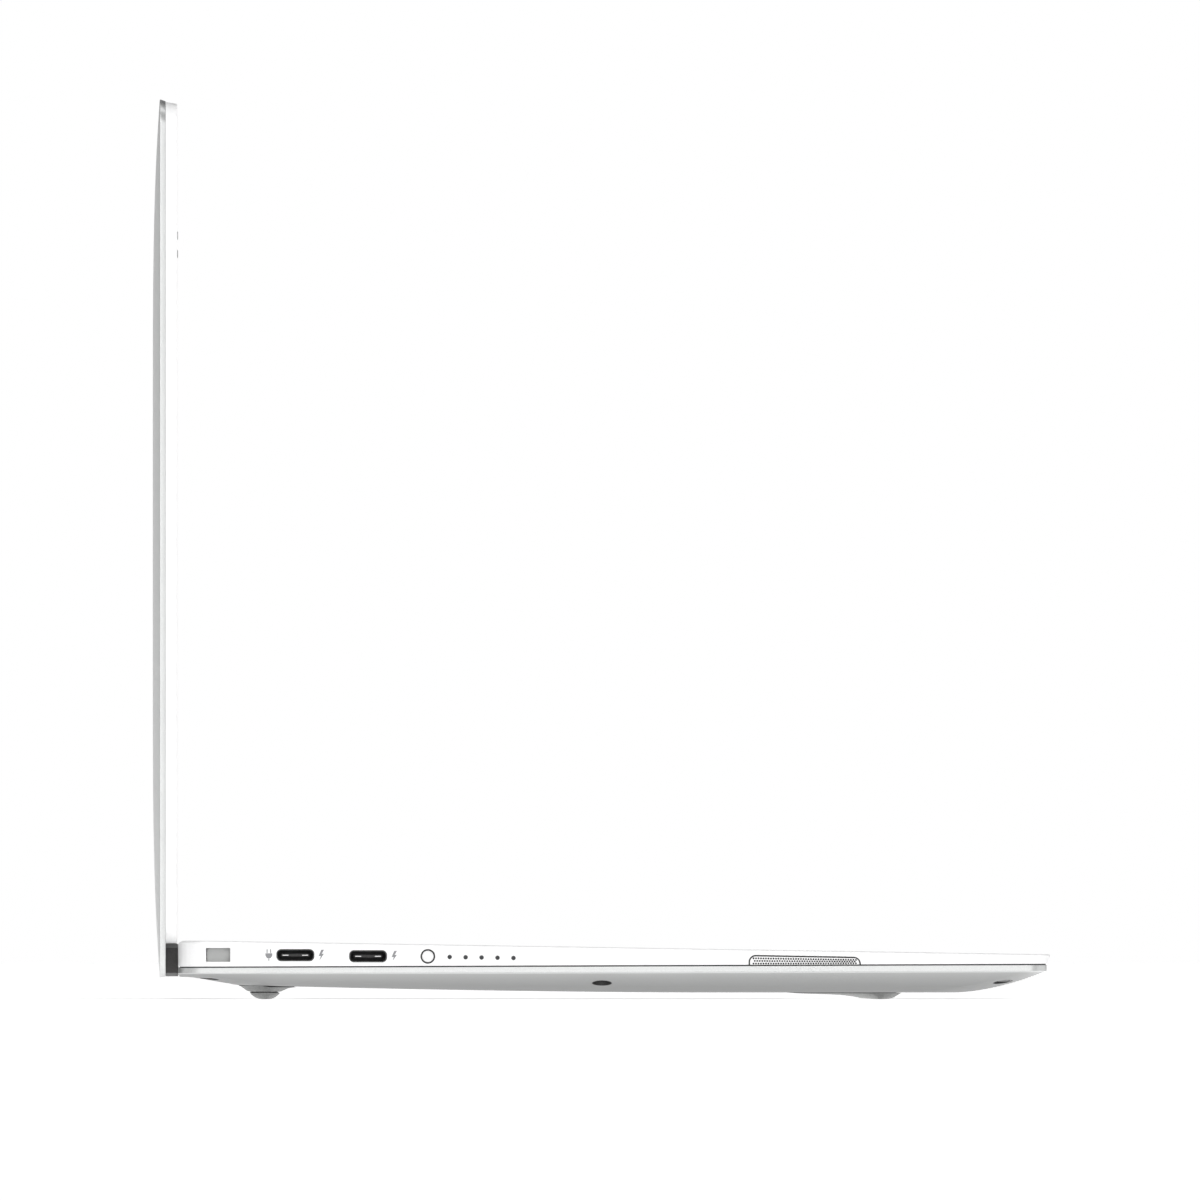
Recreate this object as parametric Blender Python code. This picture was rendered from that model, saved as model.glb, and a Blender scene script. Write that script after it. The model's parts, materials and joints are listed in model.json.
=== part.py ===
"""Slim 13-inch laptop computer, standing open at a right angle.

Frame: +Z up, X across the machine (left side at -X), front edge towards -Y.  The origin is on the
surface it stands on, under the middle of the open machine.

Inside this script lengths are millimetres.  A place is (x, s, z): s is the distance behind the
front edge.  The empty "front_edge" carries the base and lid; "deck_plane" lies in the sloping top
of the base, so the keys and the touchpad are built square to it.
"""

from math import atan2, cos, pi, sin

import bmesh
import bpy
from mathutils import Vector

MM = 0.001

# ---------------------------------------------------------------- driving dimensions (mm)
HALF_WIDTH = 151.0
DEPTH = 201.3                   # front edge to the crown of the open lid
CORNER_RADIUS = 5.0
CORNER_STEPS = 5

DECK_FRONT_Z = 10.09            # top of the base at the front edge
DECK_REAR_Z = 13.24             # and at its rear wall
BASE_REAR = 195.6
DECK_SLOPE = (DECK_REAR_Z - DECK_FRONT_Z) / BASE_REAR
DECK_PLATE = 1.7                # palm rest thickness
DECK_WALL = 1.6
SEAM_FRONT_Z = 7.87             # parting line between deck and bottom cover
SEAM_REAR_Z = 7.22
SEAM_GAP = 0.2

STRIP_FRONT_Z = 6.36            # lower edge of the bottom cover's upright rim
STRIP_REAR_Z = 5.80
STRIP_FRONT = 0.92
STRIP_HALF_WIDTH = 150.5
UNDERSIDE_Z = 1.55              # flat of the bottom cover, towards the front
UNDERSIDE_RISE = 1.32           # how much higher it is over the rear foot
RISE_START, RISE_LENGTH, RISE_POWER = 80.0, 89.0, 1.6
SLOPE_WIDTH, SLOPE_POWER = 20.0, 1.7
REAR_LEDGE, REAR_LEDGE_Z, REAR_SLOPE = 2.7, 5.05, 0.165      # the underside's last, steeper stretch
COVER_WALL, COVER_FLOOR = 1.4, 0.9
# Insets of the rings that shape the underside: from the front and sides, and from the rear.
UNDERSIDE_RINGS = ((1.5, 0.12), (3.6, 0.35), (4.2, 2.7), (8.0, 6.8), (12.0, 10.4), (16.0, 13.3),
                   (20.0, 14.9))
SIDE_STATIONS = (45.0, 80.0, 102.0, 124.0, 146.0, 163.0)

AXIS_S, AXIS_Z = 192.1, 9.8     # lid hinge axis, along X
NOTCH_S, NOTCH_HALF = 190.6, 138.3
NOTCH_WALL = 1.2

LID_TOP, LID_BOTTOM = 201.9, 4.96
COVER_FACE, COVER_EDGE = 198.4, 199.7       # inner face and crest of the lid cover's edge band
CROWN, CROWN_WIDTH, CROWN_POWER = 1.6, 70.0, 3.4
CROWN_RINGS = (3.0, 8.0, 16.0, 30.0, 48.0, 70.0)
BEZEL_FRONT, BEZEL_BACK = 195.8, 198.2
BEZEL_TOP, BEZEL_BOTTOM = 201.3, 12.6
SCREEN_HALF, SCREEN_BOTTOM, SCREEN_TOP = 147.3, 30.6, 196.3
WEBCAM_Z, WEBCAM_RADIUS, WEBCAM_HOLE_R = 21.5, 1.5, 1.7
BUMPER_BOTTOM, BUMPER_TOP = 170.4, 172.2
HINGE_INNER, HINGE_MIDDLE, HINGE_OUTER = 106.0, 120.0, 134.5     # |x| of the hinge barrels' ends
BARREL_RADIUS, LUG_RADIUS, SHAFT_RADIUS, BORE_RADIUS = 2.6, 2.5, 1.52, 1.6
HINGE_LEAF_FRONT, HINGE_LEAF_REAR, HINGE_ARM_FRONT = 183.0, 188.9, 188.4
HINGE_LEAF_BOTTOM, HINGE_LEAF_TOP = 8.8, 10.8
HINGE_PLATE_INNER, HINGE_PLATE_FRONT, HINGE_PLATE_REAR, HINGE_PLATE_TOP = 112.0, 196.5, 197.3, 27.0
HINGE_LINK_HALF = 1.3
HINGE_WINDOW = (104.8, 135.6, 6.0, 12.3)    # openings of the rear wall: |x| from, to, and z from, to
EXHAUST_WINDOW = (62.0, 99.0, 8.2, 11.2)
VENT_HALF, VENT_RADIUS, VENT_STEPS = 101.0, 3.3, 12
BAR_HALF, BAR_BOTTOM, BAR_TOP = 138.0, 5.2, 12.35

UNIT = 19.0                     # key pitch across
ROW_PITCH, TOP_ROW_PITCH = 18.05, 12.6
KEYS_HALF, KEYS_REAR = 138.5, 180.0
KEY_GAP, KEY_CLEARANCE, KEY_TAPER = 3.0, 0.25, 0.35
KEY_TOP, KEY_TRAVEL = -0.1, 1.0             # heights from the deck plane
KEYS_FRONT = KEYS_REAR - TOP_ROW_PITCH - 5 * ROW_PITCH
WELL_DEPTH, WEB_TOP, WEB_BOTTOM = 0.8, -2.0, -2.4
KEYBOARD_PLATE_TOP, KEYBOARD_PLATE_BOTTOM = -3.7, -4.3

PAD_HALF, PAD_FRONT, PAD_REAR = 53.0, 10.5, 70.5
FAN_X, FAN_S, FAN_RADIUS = 85.0, 154.0, 17.6
FAN_BOTTOM, FAN_TOP = 4.6, 7.4
FAN_BLADES, BLADE_SWEEP, HUB_RADIUS = 17, -0.35, 7.0
FAN_CASE_HALF, FAN_CASE_FRONT, FAN_CASE_REAR = 20.5, 134.0, 174.4
SLOT_COUNT, SLOT_PITCH, SLOT_HALF_WIDTH, SLOT_HALF_LENGTH = 9, 3.4, 0.8, 9.0

# Boxes inside the base: (x0, x1, s0, s1, z0, z1)
BATTERY_BOX = (-124.0, 124.0, 22.0, 73.0, 2.9, 6.8)
DRIVE_BOX = (22.0, 102.0, 96.0, 118.0, 3.3, 5.0)
WIRELESS_BOX = (-52.0, -30.0, 96.0, 118.0, 3.6, 5.0)
CHIP_BOXES = ((-17, 17, 141, 161, 4.4, 5.7), (-46, -28, 138, 160, 4.7, 5.7), (28, 46, 138, 160, 4.7, 5.7))
BOARD_BOTTOM, BOARD_TOP = 5.6, 6.4
BOARD_OUTLINE = ((-128, 80), (128, 80), (128, 131), (60, 131), (60, 171), (-60, 171), (-60, 131),
                 (-128, 131))
PIPE_ROUTE = ((-104.0, 178.0), (-58.0, 178.0), (-28.0, 151.0), (28.0, 151.0), (58.0, 178.0), (104.0, 178.0))
PIPE_HALF_WIDTH, PIPE_BOTTOM, PIPE_TOP = 3.4, 6.75, 7.75
SINK_INNER, SINK_OUTER, SINK_SECTION = 66.5, 103.5, (175.0, 181.3, 4.8, 6.5)
SPEAKER_BOX_INNER, SPEAKER_BOX_OUTER, SPEAKER_BOX_SECTION = 128.0, 144.6, (30.0, 76.0, 5.9, 8.6)

PORT_WIDTH, PORT_HEIGHT = 8.5, 2.72         # opening in the side wall
SHELL_WIDTH, SHELL_HEIGHT, SHELL_LENGTH = 9.0, 3.2, 7.2
MOUTH_WIDTH, MOUTH_HEIGHT = 8.34, 2.56
PORTS = {"left_rear": (-1, 169.3, 9.93), "left_front": (-1, 153.0, 9.69), "right": (1, 165.0, 9.87)}
BUTTON_S, BUTTON_Z, BUTTON_HOLE_R, BUTTON_R = 139.6, 9.66, 1.65, 1.4
LAMP_FIRST_S, LAMP_PITCH, LAMP_COUNT, LAMP_R = 134.7, 3.575, 5, 0.44
LAMP_BELOW_DECK, LAMP_HOLE_R = 2.73, 0.54
JACK_S, JACK_Z, JACK_HOLE_R = 148.5, 9.3, 1.75
CARD_S, CARD_Z, CARD_WIDTH, CARD_HEIGHT = 181.5, 9.9, 11.8, 1.3
LOCK_S, LOCK_Z, LOCK_WIDTH, LOCK_HEIGHT = 186.6, 10.0, 5.4, 3.1
GRILLE_FRONT, GRILLE_REAR, GRILLE_FRONT_TOP, GRILLE_REAR_TOP = 42.5, 67.7, 9.6, 10.0
GRILLE_RADIUS, GRILLE_GAP, GRILLE_STEPS = 1.6, 0.2, 3

SCREWS = ((-142.0, 10.5), (0.0, 10.5), (142.0, 10.5), (-143.0, 100.5), (143.0, 100.5),
          (-141.5, 188.6), (0.0, 185.2), (141.5, 188.6))
SCREW_HEAD_R, SCREW_SHANK_R, SCREW_HOLE_R, SCREW_REACH = 2.0, 0.9, 2.2, 1.75
BOSS_R, BOSS_TOP = 3.6, 6.6
FOOT_HALF = 118.0
# Outlines of the rubber feet, (s, z)
FRONT_FOOT = ((57.0, 1.4), (49.5, 1.2), (44.0, 1.0), (41.2, 0.62), (39.6, 0.16), (38.4, 0.0), (37.0, 0.0),
              (35.8, 0.05), (34.8, 0.32), (33.8, 0.88), (32.9, 1.36), (32.8, 1.44), (57.0, 1.44))
REAR_FOOT = ((169.2, 2.68), (170.9, 2.45), (172.6, 1.6), (173.2, 0.95), (174.2, 0.3), (175.2, 0.0),
             (176.7, 0.0), (177.8, 0.2), (178.7, 0.75), (179.1, 1.5), (180.0, 1.9), (181.2, 2.75),
             (181.8, 3.02), (180.6, 2.9), (175.0, 2.86), (169.2, 2.74))


# ---------------------------------------------------------------- heights of the base
def deck_z(s):
    return DECK_FRONT_Z + DECK_SLOPE * s


def seam_z(s):
    return SEAM_FRONT_Z + (SEAM_REAR_Z - SEAM_FRONT_Z) * s / BASE_REAR


def strip_z(s):
    return STRIP_FRONT_Z + (STRIP_REAR_Z - STRIP_FRONT_Z) * s / BASE_REAR


def flat_z(s):
    rise = max(0.0, (s - RISE_START) / RISE_LENGTH) ** RISE_POWER
    return UNDERSIDE_Z + UNDERSIDE_RISE * rise


def underside_z(s, inset):
    """Height of the bottom cover's outside where it lies `inset` inside the rim."""
    left = (1.0 - min(inset / SLOPE_WIDTH, 1.0)) ** SLOPE_POWER
    return flat_z(s) + (strip_z(s) - flat_z(s)) * left


# ---------------------------------------------------------------- shapes: (vertices, faces)
def loft(rings, ladder=False):
    """Closed body through rings of points.  A ladder cap joins mirrored points of its ring."""
    count = len(rings[0])
    verts = [point for ring in rings for point in ring]
    faces = []
    for level in range(len(rings) - 1):
        low, high = level * count, (level + 1) * count
        for i in range(count):
            j = (i + 1) % count
            faces.append((low + i, low + j, high + j, high + i))
    for start in (0, (len(rings) - 1) * count):
        if ladder:
            for i in range(count // 2 - 1):
                faces.append((start + i, start + i + 1, start + count - 2 - i, start + count - 1 - i))
        else:
            faces.append(tuple(range(start, start + count)))
    return verts, faces


def box(x0, x1, s0, s1, z0, z1):
    corners = ((x0, s0), (x1, s0), (x1, s1), (x0, s1))
    return loft([[(x, s, z) for x, s in corners] for z in (z0, z1)])


def prism_x(outline, x0, x1):
    return loft([[(x, s, z) for s, z in outline] for x in (x0, x1)])


def prism_s(outline, s0, s1):
    return loft([[(x, s, z) for x, z in outline] for s in (s0, s1)])


def prism_z(outline, z0, z1):
    return loft([[(x, s, z) for x, s in outline] for z in (z0, z1)])


def circle(a, b, radius, steps):
    return [(a + radius * cos(2 * pi * i / steps),
             b + radius * sin(2 * pi * i / steps)) for i in range(steps)]


def rounded(a0, a1, b0, b1, radius, steps=2):
    """Rounded rectangle outline."""
    points = []
    corners = ((a1 - radius, b0 + radius), (a1 - radius, b1 - radius),
               (a0 + radius, b1 - radius), (a0 + radius, b0 + radius))
    for quarter, (a, b) in enumerate(corners):
        for i in range(steps + 1):
            angle = (quarter - 1 + i / steps) * pi / 2
            points.append((a + radius * cos(angle), b + radius * sin(angle)))
    return points


def turned(x, s, profile, steps):
    """Body turned about the vertical line through (x, s); the profile is (radius, z)."""
    rings = []
    for radius, z in profile:
        rings.append([(px, ps, z) for px, ps in circle(x, s, radius, steps)])
    return loft(rings)


def mirrored_plan(near, far, half, radius, stations=()):
    """Rounded outline symmetric about x = 0: up the right side, then down the left."""
    right = []
    for i in range(CORNER_STEPS + 1):
        angle = (i / CORNER_STEPS - 1.0) * pi / 2
        right.append((half - radius + radius * cos(angle), near + radius + radius * sin(angle)))
    right += [(half, station) for station in stations]
    for i in range(CORNER_STEPS + 1):
        angle = i / CORNER_STEPS * pi / 2
        right.append((half - radius + radius * cos(angle), far - radius + radius * sin(angle)))
    return right + [(-x, s) for x, s in reversed(right)]


# ---------------------------------------------------------------- objects
def material(name, colour, roughness, metallic=0.0):
    new = bpy.data.materials.new(name)
    new.use_nodes = True
    shader = new.node_tree.nodes["Principled BSDF"]
    shader.inputs["Base Color"].default_value = (*colour, 1.0)
    shader.inputs["Roughness"].default_value = roughness
    shader.inputs["Metallic"].default_value = metallic
    return new


def add_object(name, shapes, frame, origin=(0.0, 0.0, 0.0), smooth=False):
    """One mesh object; its origin is `origin` in the frame, and the shapes are given in that frame."""
    made = bmesh.new()
    for verts, faces in shapes:
        placed = [made.verts.new((Vector(v) - Vector(origin)) * MM) for v in verts]
        for face in faces:
            made.faces.new([placed[i] for i in face])
    bmesh.ops.recalc_face_normals(made, faces=made.faces)
    mesh = bpy.data.meshes.new(name)
    made.to_mesh(mesh)
    made.free()
    if smooth:
        mesh.shade_smooth()
        mesh.set_sharp_from_angle(angle=0.6)
    obj = bpy.data.objects.new(name, mesh)
    bpy.context.scene.collection.objects.link(obj)
    obj.parent = frame
    obj.location = Vector(origin) * MM
    return obj


def add_part(name, shapes, finish, frame, origin=(0.0, 0.0, 0.0), smooth=False):
    obj = add_object(name, shapes, frame, origin, smooth)
    obj.data.materials.append(finish)
    return obj


def add_tool(name, shapes, frame):
    """A body that only cuts or joins another one."""
    obj = add_object(name, shapes, frame)
    obj.hide_render = True
    obj.display_type = 'WIRE'
    return obj


def combine(target, tool, operation):
    modifier = target.modifiers.new(tool.name, 'BOOLEAN')
    modifier.object = tool
    modifier.operation = operation
    modifier.solver = 'EXACT'


def cut(target, name, shapes, frame):
    combine(target, add_tool(name, shapes, frame), 'DIFFERENCE')


def fuse(target, name, shapes, frame):
    combine(target, add_tool(name, shapes, frame), 'UNION')


def add_empty(name, location, tilt=0.0, parent=None):
    empty = bpy.data.objects.new(name, None)
    bpy.context.scene.collection.objects.link(empty)
    empty.location = Vector(location) * MM
    empty.rotation_euler = (tilt, 0.0, 0.0)
    empty.parent = parent
    return empty


# ---------------------------------------------------------------- casing of the base
def plan_ring(near, far, half, radius, height, stations=()):
    return [(x, s, height(s)) for x, s in mirrored_plan(near, far, half, radius, stations)]


def cover_rings(wall, floor):
    """Rings down the bottom cover: the outside, or with a wall and floor, its hollow."""
    def ring(near, rear_inset, half, radius, height):
        return plan_ring(near + wall, BASE_REAR - rear_inset - wall, half - wall, radius, height,
                         SIDE_STATIONS)

    def rim(s):
        return seam_z(s) + (1.0 if wall else -SEAM_GAP / 2)

    rings = [ring(STRIP_FRONT - 0.26, 0.0, STRIP_HALF_WIDTH + 0.2, CORNER_RADIUS, rim),
             ring(STRIP_FRONT, 0.0, STRIP_HALF_WIDTH, CORNER_RADIUS, lambda s: strip_z(s) + floor)]
    for inset, rear_inset in UNDERSIDE_RINGS[::2] if wall else UNDERSIDE_RINGS:
        rings.append(ring(STRIP_FRONT + inset, rear_inset, STRIP_HALF_WIDTH - inset,
                          CORNER_RADIUS + 0.35 * inset, lambda s: underside_z(s, inset) + floor))
    return rings


def rear_step(depth, z0, z1):
    """Block over the rear notch between the hinges' ends, from `depth` in front of it."""
    half = NOTCH_HALF + depth
    return box(-half, half, NOTCH_S - depth, BASE_REAR + 5.0, z0, z1)


def rim_inset(x, s):
    return min(s - STRIP_FRONT, STRIP_HALF_WIDTH - abs(x))


def screw_z(x, s):
    """Height of the cover's outside at the shallow side of a screw's head, which the head must clear."""
    if s > BASE_REAR - SLOPE_WIDTH:
        return REAR_LEDGE_Z - REAR_SLOPE * (BASE_REAR - s - SCREW_REACH - REAR_LEDGE)
    return underside_z(s, rim_inset(x, s) - SCREW_REACH)


def make_bottom_cover(frame, finish):
    cover = add_part("bottom_cover", [loft(cover_rings(0.0, 0.0), ladder=True)], finish, frame)
    hollow = add_tool("cover_hollow", [loft(cover_rings(COVER_WALL, COVER_FLOOR), ladder=True)], frame)
    cut(hollow, "cover_rear_wall", [rear_step(NOTCH_WALL, 0.0, 12.0)], frame)
    bosses = [turned(x, s, ((BOSS_R, 0.0), (BOSS_R, BOSS_TOP)), 8) for x, s in SCREWS]
    cut(hollow, "screw_bosses", bosses, frame)
    combine(cover, hollow, 'DIFFERENCE')
    cut(cover, "cover_rear_notch", [rear_step(0.0, 0.0, 20.0)], frame)
    holes = []
    for x, s in SCREWS:
        z = screw_z(x, s)
        holes.append(turned(x, s, ((SCREW_HOLE_R, 0.0), (SCREW_HOLE_R, z + 1.1),
                                   (1.1, z + 1.1), (1.1, BOSS_TOP + 1.0)), 12))
    cut(cover, "screw_holes", holes, frame)
    slots = []
    for side in (-1, 1):
        for i in range(SLOT_COUNT):
            x = side * FAN_X + (i - (SLOT_COUNT - 1) / 2) * SLOT_PITCH
            outline = rounded(x - SLOT_HALF_WIDTH, x + SLOT_HALF_WIDTH, FAN_S - SLOT_HALF_LENGTH,
                              FAN_S + SLOT_HALF_LENGTH, SLOT_HALF_WIDTH - 0.01, 2)
            slots.append(prism_z(outline, 0.5, 4.4))
    cut(cover, "intake_slots", slots, frame)


def key_rows():
    """Cells of the keyboard: one list of (x0, x1, s0, s1) for each row, rear row first."""
    widths = [[2 * KEYS_HALF / 16] * 15,
              [UNIT] * 13 + [30.0],
              [28.5] + [UNIT] * 12 + [20.5],
              [32.5] + [UNIT] * 11 + [35.5],
              [42.5] + [UNIT] * 10 + [44.5],
              [23.5, UNIT, UNIT, 20.0, 99.5, UNIT, 20.0]]
    rows = []
    rear = KEYS_REAR
    for number, row in enumerate(widths):
        front = rear - (ROW_PITCH if number else TOP_ROW_PITCH)
        x = -KEYS_HALF
        cells = []
        for width in row:
            cells.append((x, x + width, front, rear))
            x += width
        rows.append(cells)
        rear = front
    middle = (rear + rear + ROW_PITCH) / 2
    for i in range(3):                      # arrow and page keys are half as deep
        x = KEYS_HALF - (3 - i) * UNIT
        rows[-1].append((x, x + UNIT, rear, middle + KEY_GAP / 4))
        rows[-1].append((x, x + UNIT, middle - KEY_GAP / 4, rear + ROW_PITCH))
    return rows


def power_cell():
    width = 2 * KEYS_HALF / 16
    return KEYS_HALF - width, KEYS_HALF, KEYS_REAR - TOP_ROW_PITCH, KEYS_REAR


def shrink(cell, margin):
    x0, x1, s0, s1 = cell
    return x0 + margin, x1 - margin, s0 + margin, s1 - margin


def wall_prism(outline, side, outer, inner):
    """Prism through the left (-1) or right (1) wall, from |x| = outer to |x| = inner."""
    return prism_x(outline, side * outer, side * inner)


def around(s, z, width, height, radius, steps):
    """Rounded outline of a side-wall opening, centred on (s, z)."""
    return rounded(s - width / 2, s + width / 2, z - height / 2, z + height / 2, radius, steps)


def stadium(s, z, width, height, steps=3):
    return around(s, z, width, height, height / 2 - 0.001, steps)


def grille_outline(gap, bottom):
    """Speaker grille in the side wall, round at its upper corners; its foot is `bottom` above the seam."""
    front, rear = GRILLE_FRONT + gap, GRILLE_REAR - gap
    radius = GRILLE_RADIUS - gap
    corners = ((front + radius, GRILLE_FRONT_TOP - gap, pi), (rear - radius, GRILLE_REAR_TOP - gap, pi / 2))
    points = [(front, seam_z(front) + bottom)]
    for centre, top, start in corners:
        for i in range(GRILLE_STEPS + 1):
            angle = start - i / GRILLE_STEPS * pi / 2
            points.append((centre + radius * cos(angle), top - radius + radius * sin(angle)))
    points.append((rear, seam_z(rear) + bottom))
    return points


def lamp_place(number):
    s = LAMP_FIRST_S - number * LAMP_PITCH
    return s, deck_z(s) - LAMP_BELOW_DECK


def make_top_cover(frame, deck, finish):
    def above(height):
        return lambda s: deck_z(s) + height

    far = BASE_REAR
    outside = [plan_ring(0.63, far, HALF_WIDTH - 0.25, CORNER_RADIUS, lambda s: seam_z(s) + SEAM_GAP / 2),
               plan_ring(0.28, far, HALF_WIDTH, CORNER_RADIUS, above(-0.9)),
               plan_ring(0.0, far - 0.5, HALF_WIDTH, CORNER_RADIUS, above(-0.35)),
               plan_ring(0.45, far - 1.7, HALF_WIDTH - 0.4, CORNER_RADIUS - 0.4, above(0.0))]
    cover = add_part("top_cover", [loft(outside, ladder=True)], finish, frame)
    wall = DECK_WALL
    hollow = [plan_ring(0.63 + wall, far - wall, HALF_WIDTH - wall, CORNER_RADIUS - wall,
                        lambda s: seam_z(s) - 1.0),
              plan_ring(0.4 + wall, far - wall, HALF_WIDTH - wall, CORNER_RADIUS - wall,
                        above(-DECK_PLATE))]
    hollow = add_tool("deck_hollow", [loft(hollow, ladder=True)], frame)
    cut(hollow, "deck_rear_wall", [rear_step(NOTCH_WALL, 0.0, 20.0)], frame)
    combine(cover, hollow, 'DIFFERENCE')
    cut(cover, "deck_rear_notch", [rear_step(0.0, 0.0, 20.0)], frame)

    margin = KEY_GAP / 2 - KEY_CLEARANCE
    well = rounded(-KEYS_HALF - 0.2, KEYS_HALF + 0.2, KEYS_FRONT - 0.2, KEYS_REAR + 0.2, 1.8, 3)
    cut(cover, "keyboard_well", [prism_z(well, -WELL_DEPTH, 3.0)], deck)
    cells = [cell for row in key_rows() for cell in row] + [power_cell()]
    openings = [box(*shrink(cell, margin), -6.0, 2.0) for cell in cells]
    pad = rounded(-PAD_HALF, PAD_HALF, PAD_FRONT, PAD_REAR, 1.6, 3)
    openings.append(prism_z(pad, -6.0, 2.0))
    cut(cover, "key_openings", openings, deck)

    thin = HALF_WIDTH - 0.6
    outside_wall, inside_wall = HALF_WIDTH + 2.0, HALF_WIDTH - 3.0
    pockets = []
    mouths = []
    for side, s, z in PORTS.values():
        pockets.append(wall_prism(around(s, z, 9.6, 3.8, 1.6, 2), side, thin, HALF_WIDTH - 9.0))
        mouths.append(wall_prism(stadium(s, z, PORT_WIDTH, PORT_HEIGHT), side, outside_wall, inside_wall))
    pockets.append(wall_prism(circle(JACK_S, JACK_Z, 2.45, 12), 1, thin, 138.8))
    lock_seat = rounded(LOCK_S - 3.6, LOCK_S + 2.7, LOCK_Z - 2.4, LOCK_Z + 2.3, 0.6, 1)
    pockets.append(wall_prism(lock_seat, -1, HALF_WIDTH - DECK_WALL, HALF_WIDTH - 3.4))
    mouths.append(wall_prism(circle(JACK_S, JACK_Z, JACK_HOLE_R, 16), 1, outside_wall, inside_wall))
    card = around(CARD_S, CARD_Z, CARD_WIDTH, CARD_HEIGHT, 0.3, 1)
    lock = around(LOCK_S, LOCK_Z, LOCK_WIDTH, LOCK_HEIGHT, 0.15, 1)
    mouths.append(wall_prism(card, 1, outside_wall, inside_wall))
    mouths.append(wall_prism(lock, -1, outside_wall, inside_wall))
    mouths.append(wall_prism(circle(BUTTON_S, BUTTON_Z, BUTTON_HOLE_R, 16), -1, outside_wall, inside_wall))
    for i in range(LAMP_COUNT):
        mouths.append(wall_prism(circle(*lamp_place(i), LAMP_HOLE_R, 8), -1, outside_wall, inside_wall))
    for side in (-1, 1):
        mouths.append(wall_prism(grille_outline(0.0, -1.0), side, outside_wall, inside_wall))
    cut(cover, "port_pockets", pockets, frame)
    cut(cover, "side_openings", mouths, frame)

    windows = []
    for side in (-1, 1):
        for inner, outer, bottom, top in (HINGE_WINDOW, EXHAUST_WINDOW):
            x0, x1 = sorted((side * inner, side * outer))
            windows.append(box(x0, x1, NOTCH_S - NOTCH_WALL - 1.1, NOTCH_S + 1.0, bottom, top))
    cut(cover, "rear_windows", windows, frame)


# ---------------------------------------------------------------- keyboard, touchpad, buttons
def key_cap(cell):
    base = shrink(cell, KEY_GAP / 2)
    top = shrink(cell, KEY_GAP / 2 + KEY_TAPER)
    rings = []
    for (x0, x1, s0, s1), height in ((base, WEB_TOP - 0.1), (top, KEY_TOP)):
        rings.append([(x0, s0, height), (x1, s0, height), (x1, s1, height), (x0, s1, height)])
    return loft(rings)


def make_keys(deck, finish):
    for number, cells in enumerate(key_rows(), start=1):
        x0 = min(cell[0] for cell in cells) + KEY_GAP / 2 + 0.5
        x1 = max(cell[1] for cell in cells) - KEY_GAP / 2 - 0.5
        s0 = min(cell[2] for cell in cells) + KEY_GAP / 2 + 0.5
        s1 = max(cell[3] for cell in cells) - KEY_GAP / 2 - 0.5
        web = box(x0, x1, s0, s1, WEB_BOTTOM, WEB_TOP)
        row = add_part(f"key_row_{number}", [web], finish, deck, origin=(0.0, (s0 + s1) / 2, KEY_TOP))
        fuse(row, f"key_caps_{number}", [key_cap(cell) for cell in cells], deck)


def make_controls(frame, deck, white, glass_white, metal):
    cell = power_cell()
    x0, x1, s0, s1 = shrink(cell, KEY_GAP / 2)
    centre = ((x0 + x1) / 2, (s0 + s1) / 2, KEY_TOP)
    button = rounded(x0, x1, s0, s1, 0.9, 2)
    add_part("power_button", [prism_z(button, WEB_BOTTOM, KEY_TOP)], metal, deck, origin=centre)

    gap = 0.2
    pad = add_part("touchpad", [prism_z(rounded(-PAD_HALF + gap, PAD_HALF - gap, PAD_FRONT + gap,
                                                PAD_REAR - gap, 1.4, 3),
                                        -2.2, -0.15)], glass_white, deck,
                   origin=(0.0, PAD_REAR, -0.15))
    flange = box(-PAD_HALF - 1.5, PAD_HALF + 1.5, PAD_FRONT - 1.5, PAD_REAR + 1.5, -2.8, -2.0)
    fuse(pad, "touchpad_module", [flange], deck)

    side = -HALF_WIDTH
    button = add_part("battery_button",
                      [prism_x(circle(BUTTON_S, BUTTON_Z, BUTTON_R, 16), side + 0.05, side + 2.3)],
                      white, frame, origin=(side, BUTTON_S, BUTTON_Z), smooth=True)
    head = box(side + 1.9, side + 2.7, BUTTON_S - 2.4, BUTTON_S + 2.4, 7.8, 10.4)
    fuse(button, "battery_button_head", [head], frame)


# ---------------------------------------------------------------- side fittings
def make_ports(frame, steel, black):
    front = HALF_WIDTH - 0.75
    back = front - SHELL_LENGTH
    for name, (side, s, z) in PORTS.items():
        shell = add_part(f"usb_c_shell_{name}",
                         [wall_prism(stadium(s, z, SHELL_WIDTH, SHELL_HEIGHT), side, front, back)],
                         steel, frame, smooth=True)
        mouth = stadium(s, z, MOUTH_WIDTH, MOUTH_HEIGHT)
        cut(shell, f"usb_c_mouth_{name}", [wall_prism(mouth, side, front + 1.0, back + 0.4)], frame)
        tongue = rounded(s - 3.34, s + 3.34, z - 0.35, z + 0.35, 0.2, 1)
        root = rounded(s - 3.9, s + 3.9, z - 1.0, z + 1.0, 0.5, 1)
        blade = add_part(f"usb_c_tongue_{name}", [wall_prism(tongue, side, front - 1.0, back + 0.8)], black,
                         frame)
        fuse(blade, f"usb_c_root_{name}", [wall_prism(root, side, back + 2.0, back + 0.6)], frame)


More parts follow.
